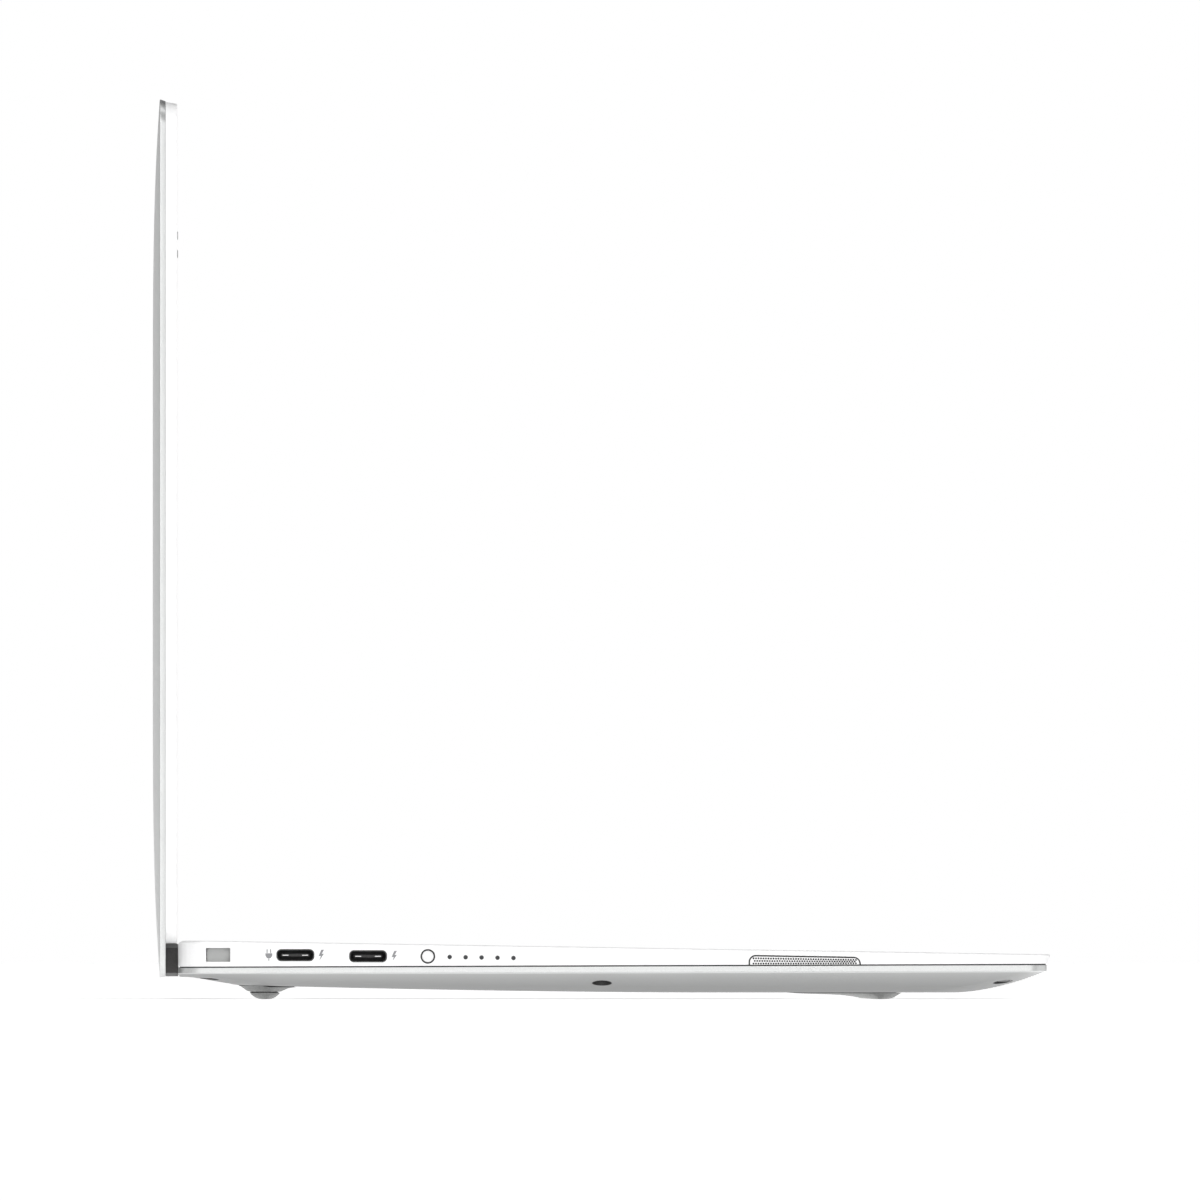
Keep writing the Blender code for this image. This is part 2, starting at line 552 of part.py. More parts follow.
def make_side_fittings(frame, steel, black, white, clear):
    jack = add_part("headphone_jack",
                    [wall_prism(circle(JACK_S, JACK_Z, 2.25, 16), 1, HALF_WIDTH - 1.9, 139.2)],
                    black, frame, smooth=True)
    cut(jack, "headphone_bore", [wall_prism(circle(JACK_S, JACK_Z, JACK_HOLE_R, 16), 1, HALF_WIDTH, 140.2)],
        frame)

    inner = HALF_WIDTH - DECK_WALL - 0.2
    card = add_part("card_slot",
                    [wall_prism(around(CARD_S, CARD_Z, 13.8, 2.4, 0.3, 1), 1, inner, inner - 8.6)],
                    steel, frame)
    mouth = around(CARD_S, CARD_Z, 11.2, 1.0, 0.2, 1)
    cut(card, "card_mouth", [wall_prism(mouth, 1, inner + 1.0, inner - 8.0)], frame)

    plate = rounded(LOCK_S - 3.3, LOCK_S + 2.5, LOCK_Z - 2.1, LOCK_Z + 2.1, 0.6, 2)
    lock = add_part("lock_slot_plate", [wall_prism(plate, -1, inner, inner - 1.0)], steel, frame)
    hole = rounded(LOCK_S - 1.6, LOCK_S + 1.6, LOCK_Z - 0.7, LOCK_Z + 0.7, 0.5, 2)
    cut(lock, "lock_slot_hole", [wall_prism(hole, -1, inner + 1.0, inner - 2.0)], frame)

    rear, rear_z = lamp_place(0)
    front, front_z = lamp_place(LAMP_COUNT - 1)
    bar = box(-inner, -inner + 1.0, front - 1.6, rear + 1.6, front_z - 0.7, rear_z + 0.57)
    lamps = add_part("battery_light_pipe", [bar], clear, frame)
    pins = []
    for i in range(LAMP_COUNT):
        pins.append(wall_prism(circle(*lamp_place(i), LAMP_R, 8), -1, HALF_WIDTH - 0.05, inner - 0.3))
    fuse(lamps, "battery_light_pins", pins, frame)

    for side, name in ((-1, "left"), (1, "right")):
        outline = grille_outline(GRILLE_GAP, SEAM_GAP / 2)
        add_part(f"speaker_grille_{name}", [wall_prism(outline, side, HALF_WIDTH - 0.08, HALF_WIDTH - 1.3)],
                 white, frame)
        x0, x1 = sorted((side * SPEAKER_BOX_INNER, side * SPEAKER_BOX_OUTER))
        add_part(f"speaker_box_{name}", [box(x0, x1, *SPEAKER_BOX_SECTION)], black, frame)


# ---------------------------------------------------------------- inside the base
def make_fans(frame, black):
    for side, name in ((-1, "left"), (1, "right")):
        x = side * FAN_X
        case = add_part(f"fan_housing_{name}", [box(x - FAN_CASE_HALF, x + FAN_CASE_HALF, FAN_CASE_FRONT,
                                                    FAN_CASE_REAR, FAN_BOTTOM, FAN_TOP)], black, frame)
        air = [turned(x, FAN_S, ((FAN_RADIUS + 0.9, FAN_BOTTOM + 0.4), (FAN_RADIUS + 0.9, FAN_TOP - 0.4)),
                      24)]
        cut(case, f"fan_chamber_{name}", air, frame)
        cut(case, f"fan_intake_{name}",
            [turned(x, FAN_S, ((12.5, FAN_BOTTOM - 1.0), (12.5, FAN_BOTTOM + 0.8)), 20)], frame)
        cut(case, f"fan_outlet_{name}",
            [box(x - 17.0, x + 17.0, FAN_S + 4.0, 180.0, FAN_BOTTOM + 0.4, FAN_TOP - 0.4)], frame)
        fuse(case, f"fan_spindle_{name}",
             [turned(x, FAN_S, ((0.9, FAN_BOTTOM + 0.7), (0.9, FAN_TOP - 0.2)), 10)], frame)

        outline = []
        for i in range(FAN_BLADES):
            start = 2 * pi * i / FAN_BLADES
            for angle, radius in ((-0.05, HUB_RADIUS), (BLADE_SWEEP, FAN_RADIUS),
                                  (BLADE_SWEEP + 0.06, FAN_RADIUS), (0.06, HUB_RADIUS)):
                outline.append((x + radius * cos(start + angle), FAN_S + radius * sin(start + angle)))
        wheel = add_part(f"fan_impeller_{name}", [prism_z(outline, FAN_BOTTOM + 0.7, FAN_TOP - 0.7)], black,
                         frame, origin=(x, FAN_S, (FAN_BOTTOM + FAN_TOP) / 2))
        cut(wheel, f"fan_bore_{name}", [turned(x, FAN_S, ((1.05, 0.0), (1.05, 12.0)), 10)], frame)


def make_internals(frame, deck, steel, board, copper, black):
    add_part("keyboard_plate", [box(-137.5, 137.5, KEYS_FRONT + 0.5, KEYS_REAR - 0.5,
                                    KEYBOARD_PLATE_BOTTOM, KEYBOARD_PLATE_TOP)], steel, deck)
    add_part("battery_pack", [box(*BATTERY_BOX)], black, frame)
    mother = add_part("motherboard", [prism_z(BOARD_OUTLINE, BOARD_BOTTOM, BOARD_TOP)], board, frame)
    fuse(mother, "board_chips", [box(*chip) for chip in CHIP_BOXES], frame)
    add_part("solid_state_drive", [box(*DRIVE_BOX)], board, frame)
    add_part("wireless_card", [box(*WIRELESS_BOX)], board, frame)

    pipe = [(x, s + PIPE_HALF_WIDTH) for x, s in PIPE_ROUTE]
    pipe += [(x, s - PIPE_HALF_WIDTH) for x, s in reversed(PIPE_ROUTE)]
    add_part("heat_pipe", [prism_z(pipe, PIPE_BOTTOM, PIPE_TOP)], copper, frame)
    for side, name in ((-1, "left"), (1, "right")):
        x0, x1 = sorted((side * SINK_INNER, side * SINK_OUTER))
        add_part(f"heat_sink_{name}", [box(x0, x1, *SINK_SECTION)], copper, frame)


# ---------------------------------------------------------------- underside
def make_underside(frame, rubber, steel):
    for number, (x, s) in enumerate(SCREWS, start=1):
        z = screw_z(x, s)
        profile = ((1.75, z + 0.15), (SCREW_HEAD_R, z + 0.35), (SCREW_HEAD_R, z + 0.95),
                   (SCREW_SHANK_R, z + 0.95), (SCREW_SHANK_R, BOSS_TOP - 0.3))
        screw = add_part(f"bottom_screw_{number}", [turned(x, s, profile, 12)], steel, frame, smooth=True)
        cut(screw, f"screw_drive_{number}", [turned(x, s, ((0.85, z - 0.5), (0.85, z + 0.6)), 6)], frame)

    for name, outline in (("front_foot", FRONT_FOOT), ("rear_foot", REAR_FOOT)):
        add_part(name, [prism_x(outline, -FOOT_HALF, FOOT_HALF)], rubber, frame)


# ---------------------------------------------------------------- hinge line
def make_hinges(frame, steel, dark):
    axis = (0.0, AXIS_S, AXIS_Z)
    strip = [(NOTCH_S + 0.3, AXIS_Z - 3.0)]
    for i in range(VENT_STEPS + 1):
        angle = (i / VENT_STEPS - 0.5) * pi
        strip.append((AXIS_S + VENT_RADIUS * cos(angle), AXIS_Z + VENT_RADIUS * sin(angle)))
    strip.append((NOTCH_S + 0.3, AXIS_Z + 3.0))
    add_part("rear_vent_strip", [prism_x(strip, -VENT_HALF, VENT_HALF)], dark, frame, smooth=True)

    for side, name in ((-1, "left"), (1, "right")):
        def span(inner, outer):
            return sorted((side * inner, side * outer))

        flat = box(*span(HINGE_INNER, HINGE_OUTER - 0.5), HINGE_LEAF_FRONT, HINGE_LEAF_REAR,
                   HINGE_LEAF_BOTTOM, HINGE_LEAF_TOP)
        leaf = add_part(f"hinge_base_leaf_{name}", [flat], steel, frame)
        arm = box(*span(HINGE_INNER, HINGE_MIDDLE), HINGE_ARM_FRONT, AXIS_S,
                  HINGE_LEAF_BOTTOM, HINGE_LEAF_TOP)
        barrel = prism_x(circle(AXIS_S, AXIS_Z, BARREL_RADIUS, 20), *span(HINGE_INNER, HINGE_MIDDLE))
        bore = prism_x(circle(AXIS_S, AXIS_Z, BORE_RADIUS, 20), *span(HINGE_INNER - 1.0, HINGE_MIDDLE + 1.0))
        fuse(leaf, f"hinge_arm_{name}", [arm], frame)
        fuse(leaf, f"hinge_barrel_{name}", [barrel], frame)
        cut(leaf, f"hinge_bore_{name}", [bore], frame)

        lug = prism_x(circle(AXIS_S, AXIS_Z, LUG_RADIUS, 20), *span(HINGE_MIDDLE + 0.5, HINGE_OUTER))
        shaft = prism_x(circle(AXIS_S, AXIS_Z, SHAFT_RADIUS, 20),
                        *span(HINGE_INNER - 0.6, HINGE_MIDDLE + 1.5))
        link = box(*span(HINGE_MIDDLE + 0.5, HINGE_OUTER), AXIS_S, HINGE_PLATE_REAR,
                   AXIS_Z - HINGE_LINK_HALF, AXIS_Z + HINGE_LINK_HALF)
        plate = box(*span(HINGE_PLATE_INNER, HINGE_OUTER), HINGE_PLATE_FRONT, HINGE_PLATE_REAR,
                    AXIS_Z - HINGE_LINK_HALF, HINGE_PLATE_TOP)
        lid_leaf = add_part(f"hinge_lid_leaf_{name}", [lug], steel, frame, origin=axis)
        fuse(lid_leaf, f"hinge_shaft_{name}", [shaft], frame)
        fuse(lid_leaf, f"hinge_link_{name}", [link], frame)
        fuse(lid_leaf, f"hinge_plate_{name}", [plate], frame)

    bar = rounded(BEZEL_FRONT, 198.1, BAR_BOTTOM, BAR_TOP, 0.5, 2)
    bar = add_part("hinge_bar", [prism_x(bar, -BAR_HALF, BAR_HALF)], dark, frame, origin=axis)
    pockets = []
    for side in (-1, 1):
        x0, x1 = sorted((side * 111.5, side * 135.0))
        pockets.append(box(x0, x1, BEZEL_FRONT - 1.0, 197.6, 8.2, 14.0))
    cut(bar, "hinge_bar_pockets", pockets, frame)


# ---------------------------------------------------------------- lid
def upright_ring(half, bottom, top, radius, s):
    return [(x, s, z) for x, z in mirrored_plan(bottom, top, half, radius)]


def make_lid(frame, silver, white, glass, panel, black, rubber):
    axis = (0.0, AXIS_S, AXIS_Z)
    rings = [upright_ring(HALF_WIDTH - 0.4, LID_BOTTOM + 0.15, LID_TOP - 0.4, CORNER_RADIUS, COVER_FACE),
             upright_ring(HALF_WIDTH, LID_BOTTOM, LID_TOP, CORNER_RADIUS, COVER_EDGE - 0.1)]
    for inset in (0.1,) + CROWN_RINGS:
        s = COVER_EDGE + CROWN * (1.0 - (1.0 - inset / CROWN_WIDTH) ** CROWN_POWER)
        rings.append(upright_ring(HALF_WIDTH - inset, LID_BOTTOM + inset, LID_TOP - inset,
                                  CORNER_RADIUS + 0.25 * inset, s))
    cover = add_part("lid_cover", [loft(rings)], silver, frame, origin=axis)
    cut(cover, "lid_pocket", [prism_s(rounded(-147.8, 147.8, 14.2, 199.2, 0.8, 1), COVER_FACE - 1.0,
                                      199.2)], frame)

    half = HALF_WIDTH - 0.6
    rings = [upright_ring(half, BEZEL_BOTTOM, BEZEL_TOP, CORNER_RADIUS - 0.5, BEZEL_BACK),
             upright_ring(half - 0.3, BEZEL_BOTTOM, BEZEL_TOP - 0.4, CORNER_RADIUS - 0.6,
                          BEZEL_FRONT + 0.3),
             upright_ring(half - 0.6, BEZEL_BOTTOM + 0.2, BEZEL_TOP - 0.7, CORNER_RADIUS - 0.8,
                          BEZEL_FRONT)]
    bezel = add_part("bezel", [loft(rings)], white, frame, origin=axis)
    hollow = rounded(-148.6, 148.6, BEZEL_BOTTOM - 2.0, BEZEL_TOP - 1.9, 2.0, 2)
    cut(bezel, "bezel_hollow", [prism_s(hollow, BEZEL_FRONT + 0.55, BEZEL_BACK + 1.0)], frame)
    window = box(-SCREEN_HALF, SCREEN_HALF, BEZEL_FRONT - 1.0, BEZEL_FRONT + 1.0, SCREEN_BOTTOM, SCREEN_TOP)
    eye = prism_s(circle(0.0, WEBCAM_Z, WEBCAM_HOLE_R, 14), BEZEL_FRONT - 1.0, BEZEL_FRONT + 1.0)
    cut(bezel, "bezel_window", [window, eye], frame)
    seats = []
    for side in (-1, 1):
        x0, x1 = sorted((side * 147.85, side * 149.25))
        seats.append(box(x0, x1, BEZEL_FRONT - 1.0, BEZEL_FRONT + 0.35, BUMPER_BOTTOM - 0.2,
                         BUMPER_TOP + 0.2))
    cut(bezel, "bumper_seats", seats, frame)

    gap = 0.15
    pane = box(-SCREEN_HALF + gap, SCREEN_HALF - gap, BEZEL_FRONT + 0.12, BEZEL_FRONT + 0.75,
               SCREEN_BOTTOM + gap, SCREEN_TOP - gap)
    add_part("screen_glass", [pane], glass, frame, origin=axis)
    add_part("lcd_panel", [box(-147.3, 147.3, BEZEL_FRONT + 0.95, 198.9, 29.0, 198.6)], panel, frame,
             origin=axis)
    lens = prism_s(circle(0.0, WEBCAM_Z, WEBCAM_RADIUS, 14), BEZEL_FRONT + 0.15, 197.4)
    camera = add_part("webcam", [lens], black, frame, origin=axis, smooth=True)
    fuse(camera, "webcam_board", [box(-12.0, 12.0, BEZEL_FRONT + 0.8, 197.6, WEBCAM_Z - 3.0, WEBCAM_Z + 3.0)],
         frame)
    for side, name in ((-1, "left"), (1, "right")):
        x0, x1 = sorted((side * 148.0, side * 149.1))
        add_part(f"lid_bumper_{name}", [box(x0, x1, BEZEL_FRONT - 0.2, BEZEL_FRONT + 0.2, BUMPER_BOTTOM,
                                            BUMPER_TOP)], rubber, frame, origin=axis)


# ---------------------------------------------------------------- assembly
def clear_scene():
    for obj in list(bpy.context.scene.objects):
        bpy.data.objects.remove(obj, do_unlink=True)


def build():
    clear_scene()
    silver = material("silver_aluminium", (0.78, 0.80, 0.79), 0.35, 1.0)
    white = material("white_deck", (0.92, 0.92, 0.92), 0.5)
    pad_white = material("white_glass", (0.9, 0.9, 0.9), 0.25)
    dark = material("dark_hinge_plastic", (0.04, 0.038, 0.038), 0.45)
    rubber = material("grey_rubber", (0.28, 0.28, 0.28), 0.8)
    steel = material("steel", (0.55, 0.55, 0.56), 0.3, 1.0)
    black = material("black_plastic", (0.02, 0.02, 0.02), 0.5)
    board = material("circuit_board", (0.03, 0.08, 0.05), 0.5)
    copper = material("copper", (0.75, 0.42, 0.28), 0.3, 1.0)
    glass = material("screen_glass", (0.02, 0.02, 0.025), 0.08)
    panel = material("display_panel", (0.05, 0.05, 0.06), 0.4)
    clear = material("lamp_plastic", (0.3, 0.3, 0.3), 0.3)

    frame = add_empty("front_edge", (0.0, -DEPTH / 2, 0.0))
    tilt = atan2(DECK_REAR_Z - DECK_FRONT_Z, BASE_REAR)
    deck = add_empty("deck_plane", (0.0, 0.0, DECK_FRONT_Z), tilt, frame)

    make_bottom_cover(frame, silver)
    make_top_cover(frame, deck, white)
    make_keys(deck, white)
    make_controls(frame, deck, white, pad_white, silver)
    make_ports(frame, steel, black)
    make_side_fittings(frame, steel, black, white, clear)
    make_fans(frame, black)
    make_internals(frame, deck, steel, board, copper, black)
    make_underside(frame, rubber, steel)
    make_hinges(frame, steel, dark)
    make_lid(frame, silver, white, glass, panel, black, rubber)


build()
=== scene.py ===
"""Looks of the slim laptop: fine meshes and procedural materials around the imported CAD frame.

Lengths are millimetres and places are (x, s, z), with s the distance behind the front edge, as in the
CAD source; at() and on_deck() turn them into the frame's metres.
"""

import json
from math import atan2, cos, hypot, pi, sin

import bmesh
import bpy
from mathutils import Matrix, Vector


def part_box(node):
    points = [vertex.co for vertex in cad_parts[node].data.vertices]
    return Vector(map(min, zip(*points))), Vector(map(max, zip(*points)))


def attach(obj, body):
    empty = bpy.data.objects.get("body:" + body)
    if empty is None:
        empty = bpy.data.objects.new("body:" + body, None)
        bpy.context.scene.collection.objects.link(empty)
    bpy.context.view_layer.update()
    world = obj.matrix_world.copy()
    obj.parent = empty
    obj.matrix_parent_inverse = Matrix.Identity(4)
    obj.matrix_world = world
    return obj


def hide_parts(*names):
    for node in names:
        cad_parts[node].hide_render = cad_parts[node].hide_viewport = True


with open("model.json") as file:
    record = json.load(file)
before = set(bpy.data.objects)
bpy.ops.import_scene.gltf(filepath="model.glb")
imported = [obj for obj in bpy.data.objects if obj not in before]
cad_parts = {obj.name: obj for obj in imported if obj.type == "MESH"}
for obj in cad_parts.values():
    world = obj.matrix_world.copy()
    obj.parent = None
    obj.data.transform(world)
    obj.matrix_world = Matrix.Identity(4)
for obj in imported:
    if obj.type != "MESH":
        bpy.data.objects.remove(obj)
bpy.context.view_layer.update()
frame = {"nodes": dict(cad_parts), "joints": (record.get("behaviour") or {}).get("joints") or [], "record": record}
MM = 0.001

# ---------------------------------------------------------------- driving dimensions (mm)
FRONT_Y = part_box("top_cover")[0].y
HALF_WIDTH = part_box("lid_cover")[1].x / MM
LID_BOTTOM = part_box("lid_cover")[0].z / MM
LID_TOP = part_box("lid_cover")[1].z / MM
AXIS = {joint["name"]: joint for joint in frame["joints"]}["lid_hinge"]["pos_m"]
AXIS_S = (AXIS[1] - FRONT_Y) / MM
AXIS_Z = AXIS[2] / MM

CORNER_RADIUS = 5.0
DECK_FRONT_Z, DECK_REAR_Z, BASE_REAR = 10.09, 13.24, 195.6
DECK_SLOPE = (DECK_REAR_Z - DECK_FRONT_Z) / BASE_REAR
DECK_TILT = atan2(DECK_REAR_Z - DECK_FRONT_Z, BASE_REAR)
DECK_PLATE, DECK_WALL = 1.7, 1.6
SEAM_FRONT_Z, SEAM_REAR_Z, SEAM_GAP = 7.87, 7.22, 0.28
STRIP_FRONT_Z, STRIP_REAR_Z = 6.36, 5.80
STRIP_SLOPE = (STRIP_REAR_Z - STRIP_FRONT_Z) / BASE_REAR
STRIP_FRONT, STRIP_HALF_WIDTH = 0.92, 150.5
UNDERSIDE_Z, UNDERSIDE_RISE = 1.55, 1.32
RISE_START, RISE_LENGTH, RISE_POWER = 80.0, 89.0, 1.6
SLOPE_WIDTH, SLOPE_POWER = 20.0, 1.7
COVER_WALL, COVER_FLOOR = 1.4, 0.9
REAR_LEDGE, REAR_LEDGE_Z, REAR_SLOPE = 2.7, 5.05, 0.165
NOTCH_S, NOTCH_HALF, NOTCH_WALL = 190.6, 138.3, 1.2

COVER_FACE, COVER_EDGE = 198.4, 199.7
CROWN, CROWN_WIDTH, CROWN_POWER = 1.6, 70.0, 3.4
CROWN_INSETS = (0.06, 0.2, 0.5, 1.2, 2.2, 3.5, 5.5, 8.0, 11.0, 15.0, 20.0, 26.0, 33.0, 41.0, 50.0, 60.0, 70.0)
BEZEL_FRONT, BEZEL_BACK = 195.8, 198.2
BAR_FRONT = 195.5
BEZEL_TOP, BEZEL_BOTTOM = 201.3, 12.6
SCREEN_HALF, SCREEN_BOTTOM, SCREEN_TOP = 147.3, 30.6, 196.3

UNIT, ROW_PITCH, TOP_ROW_PITCH = 19.0, 18.05, 12.6
KEYS_HALF, KEYS_REAR = 138.5, 180.0
KEY_GAP, KEY_CLEARANCE, KEY_TOP = 3.0, 0.25, -0.1
WELL_DEPTH, WEB_BOTTOM = 0.8, -2.4
OPENING_LIP = 0.03                # how far above the well's floor the key openings end
PAD_HALF, PAD_FRONT, PAD_REAR = 53.0, 10.5, 70.5

PORT_WIDTH, PORT_HEIGHT = 8.5, 2.72
SHELL_WIDTH, SHELL_HEIGHT, SHELL_LENGTH = 9.0, 3.2, 7.2
MOUTH_WIDTH, MOUTH_HEIGHT = 8.34, 2.56
PORT_ROUNDING = 0.4               # corner radius as a share of the height
PORTS = {"left_rear": (-1, 169.3, 9.93), "left_front": (-1, 153.0, 9.69), "right": (1, 165.0, 9.87)}
BUTTON_S, BUTTON_Z, BUTTON_HOLE_R, BUTTON_R = 139.6, 9.66, 1.65, 1.31
LAMP_FIRST_S, LAMP_PITCH, LAMP_COUNT = 134.7, 3.575, 5
LAMP_BELOW_DECK, LAMP_HOLE_R, LAMP_R = 2.73, 0.5, 0.42
JACK_S, JACK_Z, JACK_HOLE_R = 148.5, 9.3, 1.75
CARD_S, CARD_Z, CARD_WIDTH, CARD_HEIGHT = 181.5, 9.9, 11.8, 1.3
LOCK_S, LOCK_Z, LOCK_WIDTH, LOCK_HEIGHT = 186.6, 10.0, 5.4, 3.1
GRILLE_FRONT, GRILLE_REAR, GRILLE_FRONT_TOP, GRILLE_REAR_TOP = 42.5, 67.7, 9.6, 10.0
GRILLE_RADIUS, GRILLE_GAP = 1.6, 0.34
HOLE_R, HOLE_PITCH = 0.215, 0.56
SCREWS = ((-142.0, 10.5), (0.0, 10.5), (142.0, 10.5), (-143.0, 100.5), (143.0, 100.5),
          (-141.5, 188.6), (0.0, 185.2), (141.5, 188.6))
SCREW_HEAD_R, SCREW_SHANK_R, SCREW_HOLE_R, SCREW_REACH = 2.0, 0.9, 2.2, 1.75
# Black sleeves that paint shade on the walls of the screws' recesses.
SLEEVE_R, SLEEVE_BORE_R, SLEEVE_TOP = 2.18, 2.03, 1.08
BOSS_R, BOSS_TOP = 3.6, 6.6
SLOT_COUNT, SLOT_PITCH, SLOT_HALF_WIDTH, SLOT_HALF_LENGTH = 9, 3.4, 0.8, 9.0
FAN_X, FAN_S = 85.0, 154.0
FOOT_HALF = 118.0
# Outlines of the feet, (s, z): the rear one is a fairing with a nub hung from it by a narrower neck.
FRONT_FOOT = ((57.2, 1.42), (56.2, 1.33), (53.2, 1.22), (48.2, 1.06), (45.2, 0.88), (43.2, 0.69),
              (41.2, 0.45), (40.2, 0.28), (39.3, 0.1), (38.5, 0.0), (37.0, 0.0), (36.0, 0.04), (35.2, 0.17),
              (34.5, 0.44), (33.9, 0.8), (33.3, 1.16), (32.9, 1.36), (32.8, 1.44), (37.8, 1.44),
              (45.0, 1.44), (57.2, 1.44))
REAR_FAIRING = ((181.8, 3.05), (181.5, 2.9), (181.2, 2.75), (180.6, 2.3), (180.1, 1.95), (179.6, 1.76),
                (179.0, 1.72), (172.6, 1.72), (172.1, 1.9), (171.5, 2.17), (170.9, 2.43), (170.2, 2.6),
                (169.2, 2.7), (169.2, 2.74), (175.0, 2.86), (180.6, 2.92))
REAR_NECK = ((178.3, 1.85), (178.3, 1.35), (173.4, 1.35), (173.4, 1.85))
REAR_NUB = ((179.0, 1.5), (179.12, 1.4), (179.0, 1.1), (178.65, 0.7), (178.1, 0.34), (177.5, 0.12),
            (176.8, 0.0), (175.2, 0.0), (174.5, 0.11), (173.95, 0.34), (173.45, 0.66), (173.0, 1.02),
            (172.7, 1.35), (172.85, 1.5))

WEBCAM_Z, WEBCAM_RADIUS, WEBCAM_HOLE_R = 21.5, 1.5, 1.7
BUMPER_INNER, BUMPER_OUTER, BUMPER_BOTTOM, BUMPER_TOP = 148.0, 149.1, 170.4, 172.2
BAR_HALF, BAR_BOTTOM, BAR_TOP = 138.0, 5.2, 12.58
LEAF_INNER, LEAF_OUTER = 111.5, 135.0       # recess in the hinge bar for each hinge leaf
VENT_HALF, VENT_RADIUS, VENT_COUNT, VENT_PITCH = 101.0, 3.3, 38, 5.2
HINGE_WINDOW = (104.8, 135.6, 6.0, 12.3)    # openings of the rear wall: |x| from, to, and z from, to
EXHAUST_WINDOW = (62.0, 99.0, 8.2, 11.2)

UNDERSIDE_INSETS = (0.12, 0.35, 0.8, 1.5, 2.6, 3.9, 4.7, 6.0, 7.6, 9.4, 11.2, 13.0, 14.8, 16.6, 18.3, 20.0)
SIDE_STATIONS = tuple(45.0 + 6.0 * i for i in range(20))

LEGENDS = (
    ("esc", "f1", "f2", "f3", "f4", "f5", "f6", "f7", "f8", "f9", "f10", "f11", "f12", "ins", "del"),
    ("`", "1", "2", "3", "4", "5", "6", "7", "8", "9", "0", "-", "=", "backspace"),
    ("tab", "Q", "W", "E", "R", "T", "Y", "U", "I", "O", "P", "[", "]", "\\"),
    ("caps", "A", "S", "D", "F", "G", "H", "J", "K", "L", ";", "'", "enter"),
    ("shift", "Z", "X", "C", "V", "B", "N", "M", ",", ".", "/", "shift"),
    ("ctrl", "fn", "menu", "alt", "", "alt", "ctrl", "<", "pg up", "v", "^", ">", "pg dn"),
)

WORLD_STRENGTH = 1.5
# Brightness of the surround by heading: 0 is the laptop's left, 90 behind the lid, -90 in front of it.
SURROUND = ((-180.0, 0.6), (-172.0, 0.15), (-128.0, 0.15), (-112.0, 0.95), (-80.0, 0.95), (-68.0, 0.05),
            (-46.0, 0.05), (-34.0, 1.5), (5.0, 1.5), (27.0, 0.35), (60.0, 0.12), (150.0, 0.12), (167.0, 0.3),
            (180.0, 0.6))
GAP_FAR, GAP_NEAR, GAP_LIGHT = (0.35, 0.65), (1.45, 2.3), 0.1
SOFTBOX_POWER = 12.0
FLOOR_HALF, FLOOR_GLOW = 2e4, 0.66


# ---------------------------------------------------------------- places and heights
def at(x, s, z):
    return Vector((x * MM, FRONT_Y + s * MM, z * MM))


def on_deck(x, v, w):
    """Place of a point v along the deck and w above it."""
    s = v * cos(DECK_TILT) - w * sin(DECK_TILT)
    z = DECK_FRONT_Z + v * sin(DECK_TILT) + w * cos(DECK_TILT)
    return at(x, s, z)


def deck_z(s):
    return DECK_FRONT_Z + DECK_SLOPE * s


def seam_z(s):
    return SEAM_FRONT_Z + (SEAM_REAR_Z - SEAM_FRONT_Z) * s / BASE_REAR


def strip_z(s):
    return STRIP_FRONT_Z + (STRIP_REAR_Z - STRIP_FRONT_Z) * s / BASE_REAR


def flat_z(s):
    return UNDERSIDE_Z + UNDERSIDE_RISE * max(0.0, (s - RISE_START) / RISE_LENGTH) ** RISE_POWER


def underside_z(s, inset):
    left = (1.0 - min(inset / SLOPE_WIDTH, 1.0)) ** SLOPE_POWER
    return flat_z(s) + (strip_z(s) - flat_z(s)) * left


def rear_inset(inset):
    """How far from the rear wall the underside reaches the height it has `inset` in from the sides."""
    s = BASE_REAR - 0.6 * inset
    drop = REAR_LEDGE_Z - underside_z(s, inset)
    if drop < 0.0:
        return 0.09 * inset
    return REAR_LEDGE + drop / REAR_SLOPE


def screw_z(x, s):
    """Height of the cover's outside at the shallow side of a screw's head, which the head clears."""
    if s > BASE_REAR - SLOPE_WIDTH:
        return REAR_LEDGE_Z - REAR_SLOPE * (BASE_REAR - s - SCREW_REACH - REAR_LEDGE)
    return underside_z(s, min(s - STRIP_FRONT, STRIP_HALF_WIDTH - abs(x)) - SCREW_REACH)


def wall_x(s, z):
    """Half width of the deck's side wall, which leans out a little from the seam upwards."""
    low = seam_z(s) + SEAM_GAP / 2 + 0.08
    share = (z - low) / (deck_z(s) - 0.9 - low)
    return HALF_WIDTH - 0.25 * (1.0 - min(max(share, 0.0), 1.0))


# ---------------------------------------------------------------- shapes: (vertices, faces)
def loft(rings, ladder=False):
    """Closed body through rings of points.  A ladder cap joins mirrored points of its ring."""
    count = len(rings[0])
    verts = [point for ring in rings for point in ring]
    faces = []
    for level in range(len(rings) - 1):
        low, high = level * count, (level + 1) * count
        for i in range(count):
            j = (i + 1) % count
            faces.append((low + i, low + j, high + j, high + i))
    for start in (0, (len(rings) - 1) * count):
        if ladder:
            for i in range(count // 2 - 1):
                faces.append((start + i, start + i + 1, start + count - 2 - i, start + count - 1 - i))
        else:
            faces.append(tuple(range(start, start + count)))
    return verts, faces


def circle(a, b, radius, steps):
    return [(a + radius * cos(2 * pi * i / steps),
             b + radius * sin(2 * pi * i / steps)) for i in range(steps)]


def rounded(a0, a1, b0, b1, radius, steps=6):
    points = []
    corners = ((a1 - radius, b0 + radius), (a1 - radius, b1 - radius),
               (a0 + radius, b1 - radius), (a0 + radius, b0 + radius))
    for quarter, (a, b) in enumerate(corners):
        for i in range(steps + 1):
            angle = (quarter - 1 + i / steps) * pi / 2
            points.append((a + radius * cos(angle), b + radius * sin(angle)))
    return points


